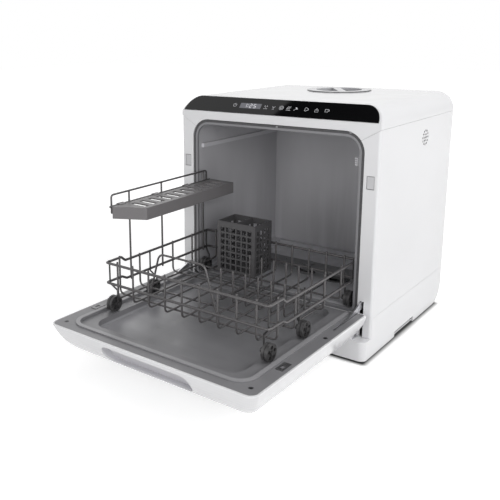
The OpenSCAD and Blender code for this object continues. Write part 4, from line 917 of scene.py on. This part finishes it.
def make_wires(material):
    """The basket's wires, bent as real wire bends."""
    rails = [rail_path(TOP_LEVEL, TOP_STEP), rail_path(LOW_LEVEL, LOW_STEP)]
    wire_piece("rail_wires", "basket_rails", RAIL_RADIUS, rails, material, closed=True)
    wire_piece("floor_wires", "basket_floor", GRID_RADIUS, grid_paths(), material)
    hoop = rounded([(x, HOOP_Y, z) for x, z in HOOP], HOOP_BEND)
    wire_piece("hoop_wire", "bowl_hoop", GRID_RADIUS, [hoop], material)
    wire_piece("tine_wires", "plate_rack", TINE_RADIUS, tine_paths(), material)
    wire_piece("post_wires", "shelf_posts", GRID_RADIUS, post_paths(), material)
    pivot_x, pivot_z = HINGE_PLACE
    pivot = [Vector((pivot_x, y, pivot_z)) for y in HINGE_ENDS]
    wire_piece("hinge_wire", "shelf_posts", HINGE_RADIUS, [pivot], material)


# ---------------------------------------------------------------- small fittings of the tub

# Millimetres; a stud's profile is (radius, y) from its back to its hollow centre
STUD_PLACES = ((10.1, 393.2), (152.0, 394.6))
STUD_PROFILE = ((2.1, 2.4), (2.1, 0.1), (1.47, -0.5), (1.302, 0.2), (0.3, 0.4))
STUD_SIDES = 20
TUB_WALL = 168.9
CLIP_Y = 12.0
CLIP_LEVEL = 345.0
CLIP_DEPTH = 11.0
CLIP_WIDTH = 7.0
CLIP_HEIGHT = 15.0
CLIP_RIBS = 4
CLIP_BACK_SHARE = 0.55
CLIP_RIB_SHARE = 0.62
CLIP_EDGE = 0.5


def fitting(name, mesh, material):
    """One small piece on the tub, from a finished bmesh."""
    piece = new_object(name, mesh_data(name, mesh, material))
    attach(piece, "cabinet")


def make_stud(name, x, z, material):
    """A round hollow-headed stud that holds the seal."""
    mesh = bmesh.new()
    rings = []
    for radius, y in STUD_PROFILE:
        ring = arc(x, z, radius, 0, 360, STUD_SIDES)[:STUD_SIDES]
        rings.append([mesh.verts.new(Vector((across, y, level)) * MM) for across, level in ring])
    for first, second in zip(rings, rings[1:]):
        for side in range(STUD_SIDES):
            after = (side + 1) % STUD_SIDES
            mesh.faces.new((first[side], first[after], second[after], second[side]))
    mesh.faces.new(rings[-1])
    mesh.faces.new(rings[0][::-1])
    bmesh.ops.recalc_face_normals(mesh, faces=mesh.faces)
    fitting(name, mesh, material)


def make_clip(material):
    """The ribbed clip inside the tub's right wall: a back block and ribs across it."""
    pitch = CLIP_HEIGHT / CLIP_RIBS
    foot = CLIP_LEVEL - CLIP_HEIGHT / 2
    rib_height = pitch * CLIP_RIB_SHARE
    blocks = [(CLIP_DEPTH, rib_height, foot + (rib + 0.5) * pitch) for rib in range(CLIP_RIBS)]
    blocks.append((CLIP_DEPTH * CLIP_BACK_SHARE, CLIP_HEIGHT, CLIP_LEVEL))
    mesh = bmesh.new()
    for depth, height, level in blocks:
        place = Vector((TUB_WALL - depth / 2, CLIP_Y, level))
        size = Matrix.Diagonal((depth * MM, CLIP_WIDTH * MM, height * MM, 1))
        bmesh.ops.create_cube(mesh, size=1, matrix=Matrix.Translation(place * MM) @ size)
    bmesh.ops.bevel(mesh, geom=mesh.edges[:], offset=CLIP_EDGE * MM, segments=2, affect="EDGES")
    fitting("wall_clip", mesh, material)


def make_fittings():
    """The two studs that hold the seal at the top, and the clip."""
    stud_material = moulded_plastic("stud_grey", STUD_GREY)
    for index, (x, z) in enumerate(STUD_PLACES):
        make_stud(f"seal_stud_{index + 1}", x, z, stud_material)
    make_clip(moulded_plastic("fitting_grey", LIT_LEDGE_AND_CLIP_GREY))


# ---------------------------------------------------------------- stage

FLOOR_HALF = 9.0
FLOOR_TONE = (0.75, 0.75, 0.75)
FLOOR_GLOW = (0.6, 1.0)
FLOOR_FADE = (0.7, 2.4)
# The painted shadow under the base pan: its tone's share, its reach past the pan and short of its
# rear
UNDER_SHADOW_SHARE = 0.15
UNDER_GROW = 0.003
UNDER_REAR = 0.015
UNDER_SOFT = 0.006


def seen_rays(tree):
    """1 for camera, glossy and transmission rays, which see the white studio."""
    path = tree.nodes.new("ShaderNodeLightPath")
    seen = combine(tree, "MAXIMUM", path.outputs["Is Camera Ray"], path.outputs["Is Glossy Ray"])
    return combine(tree, "MAXIMUM", seen, path.outputs["Is Transmission Ray"])


def painted_under_shadow(tree):
    """1 on the floor under the base pan, which gets painted shadow as no light reaches there; its
    rear edge curves up.
    """
    low, high = node_box("base_pan")
    across = between(tree, along(tree, "X"), low.x - UNDER_GROW, high.x + UNDER_GROW, UNDER_SOFT)
    deep = between(tree, along(tree, "Y"), low.y - UNDER_GROW, high.y - UNDER_REAR, UNDER_SOFT)
    return combine(tree, "MULTIPLY", across, deep)


def floor_material():
    """White that keeps the object's shadow, with painted shadow under the base pan, and that the
    camera sees blend into the backdrop.
    """
    material = bpy.data.materials.new("floor_white")
    material.use_nodes = True
    tree = material.node_tree
    tree.nodes.clear()
    output = tree.nodes.new("ShaderNodeOutputMaterial")
    plain = tree.nodes.new("ShaderNodeBsdfDiffuse")
    glow = tree.nodes.new("ShaderNodeEmission")
    total = tree.nodes.new("ShaderNodeAddShader")
    under_shadow = painted_under_shadow(tree)
    # Painted shadow: the floor's colour darkens under the base pan
    tone = ramp(tree, under_shadow, ((0, FLOOR_TONE), (1, shade(FLOOR_TONE, UNDER_SHADOW_SHARE))))
    tree.links.new(tone, plain.inputs["Color"])
    level = spread(tree, reach(tree, (1, 1, 1), (0, 0, 0)), *FLOOR_GLOW, *FLOOR_FADE)
    # The glow is taken away under the base pan too, for the painted shadow
    level = combine(tree, "MULTIPLY", level, opposite(tree, under_shadow))
    tree.links.new(combine(tree, "MULTIPLY", seen_rays(tree), level), glow.inputs["Strength"])
    tree.links.new(plain.outputs["BSDF"], total.inputs[0])
    tree.links.new(glow.outputs["Emission"], total.inputs[1])
    tree.links.new(total.outputs["Shader"], output.inputs["Surface"])
    return material


def make_floor():
    """A plain white floor."""
    mesh = bpy.data.meshes.new("floor")
    corners = [(x, y, 0) for x, y in ((-1, -1), (1, -1), (1, 1), (-1, 1))]
    mesh.from_pydata([Vector(corner) * FLOOR_HALF for corner in corners], [], [(0, 1, 2, 3)])
    mesh.materials.append(floor_material())
    floor = new_object("floor", mesh)


FLAG_HEIGHT = 0.94
FLAG_CORNERS = ((-0.494, -0.279), (-0.113, 0.006), (0.5, 0.0), (0.5, -0.7), (-0.3, -0.7))


def make_flag():
    """A black studio flag over the machine that only reflections see."""
    mesh = bpy.data.meshes.new("flag")
    corners = [(x, y, FLAG_HEIGHT) for x, y in FLAG_CORNERS]
    mesh.from_pydata(corners, [], [tuple(range(len(corners)))])
    material, _, shader = new_material("flag_black", roughness=1.0, specular_ior_level=0.0)
    shader.inputs["Base Color"].default_value = (0.0, 0.0, 0.0, 1)
    mesh.materials.append(material)
    flag = new_object("flag", mesh)
    for seen in ("visible_camera", "visible_diffuse", "visible_shadow", "visible_transmission"):
        setattr(flag, seen, False)


# Name, place, size and power of each soft box; all of them face AIM
AIM = Vector((0, -0.05, 0.2))
LAMPS = (
    ("key_right", (1.45, 0.3, 1.25), 1.3, 12.0),
    ("over", (0.1, 0.1, 2.3), 1.8, 10.0),
    ("key_front", (1.75, -1.55, 0.9), 1.2, 18.0),
    ("fill_front", (-0.15, -2.3, 0.7), 1.2, 14.0),
    ("fill_back", (-1.3, 1.8, 2.1), 1.6, 12.0),
)
WORLD_LEVEL = 0.22


def make_light():
    """Plain studio light: large soft boxes and an even white world."""
    for name, place, size, power in LAMPS:
        data = bpy.data.lights.new(name, "AREA")
        data.shape = "SQUARE"
        data.size = size
        data.energy = power
        lamp = new_object(name, data)
        facing = (AIM - Vector(place)).to_track_quat("-Z", "Y").to_matrix().to_4x4()
        lamp.matrix_world = Matrix.Translation(place) @ facing
    world = bpy.data.worlds.new("studio")
    bpy.context.scene.world = world
    world.use_nodes = True
    tree = world.node_tree
    background = tree.nodes["Background"]
    background.inputs["Color"].default_value = (1, 1, 1, 1)
    level = spread(tree, seen_rays(tree), WORLD_LEVEL, 1, start=0, end=1)
    tree.links.new(level, background.inputs["Strength"])
    bpy.context.scene.view_settings.view_transform = "Standard"


make_camera()
node_materials = make_materials()
for node_name, node_material in node_materials.items():
    dress(node_name, node_material)
make_wires(node_materials["basket_rails"])
make_fittings()
make_panel()
make_floor()
make_flag()
make_light()
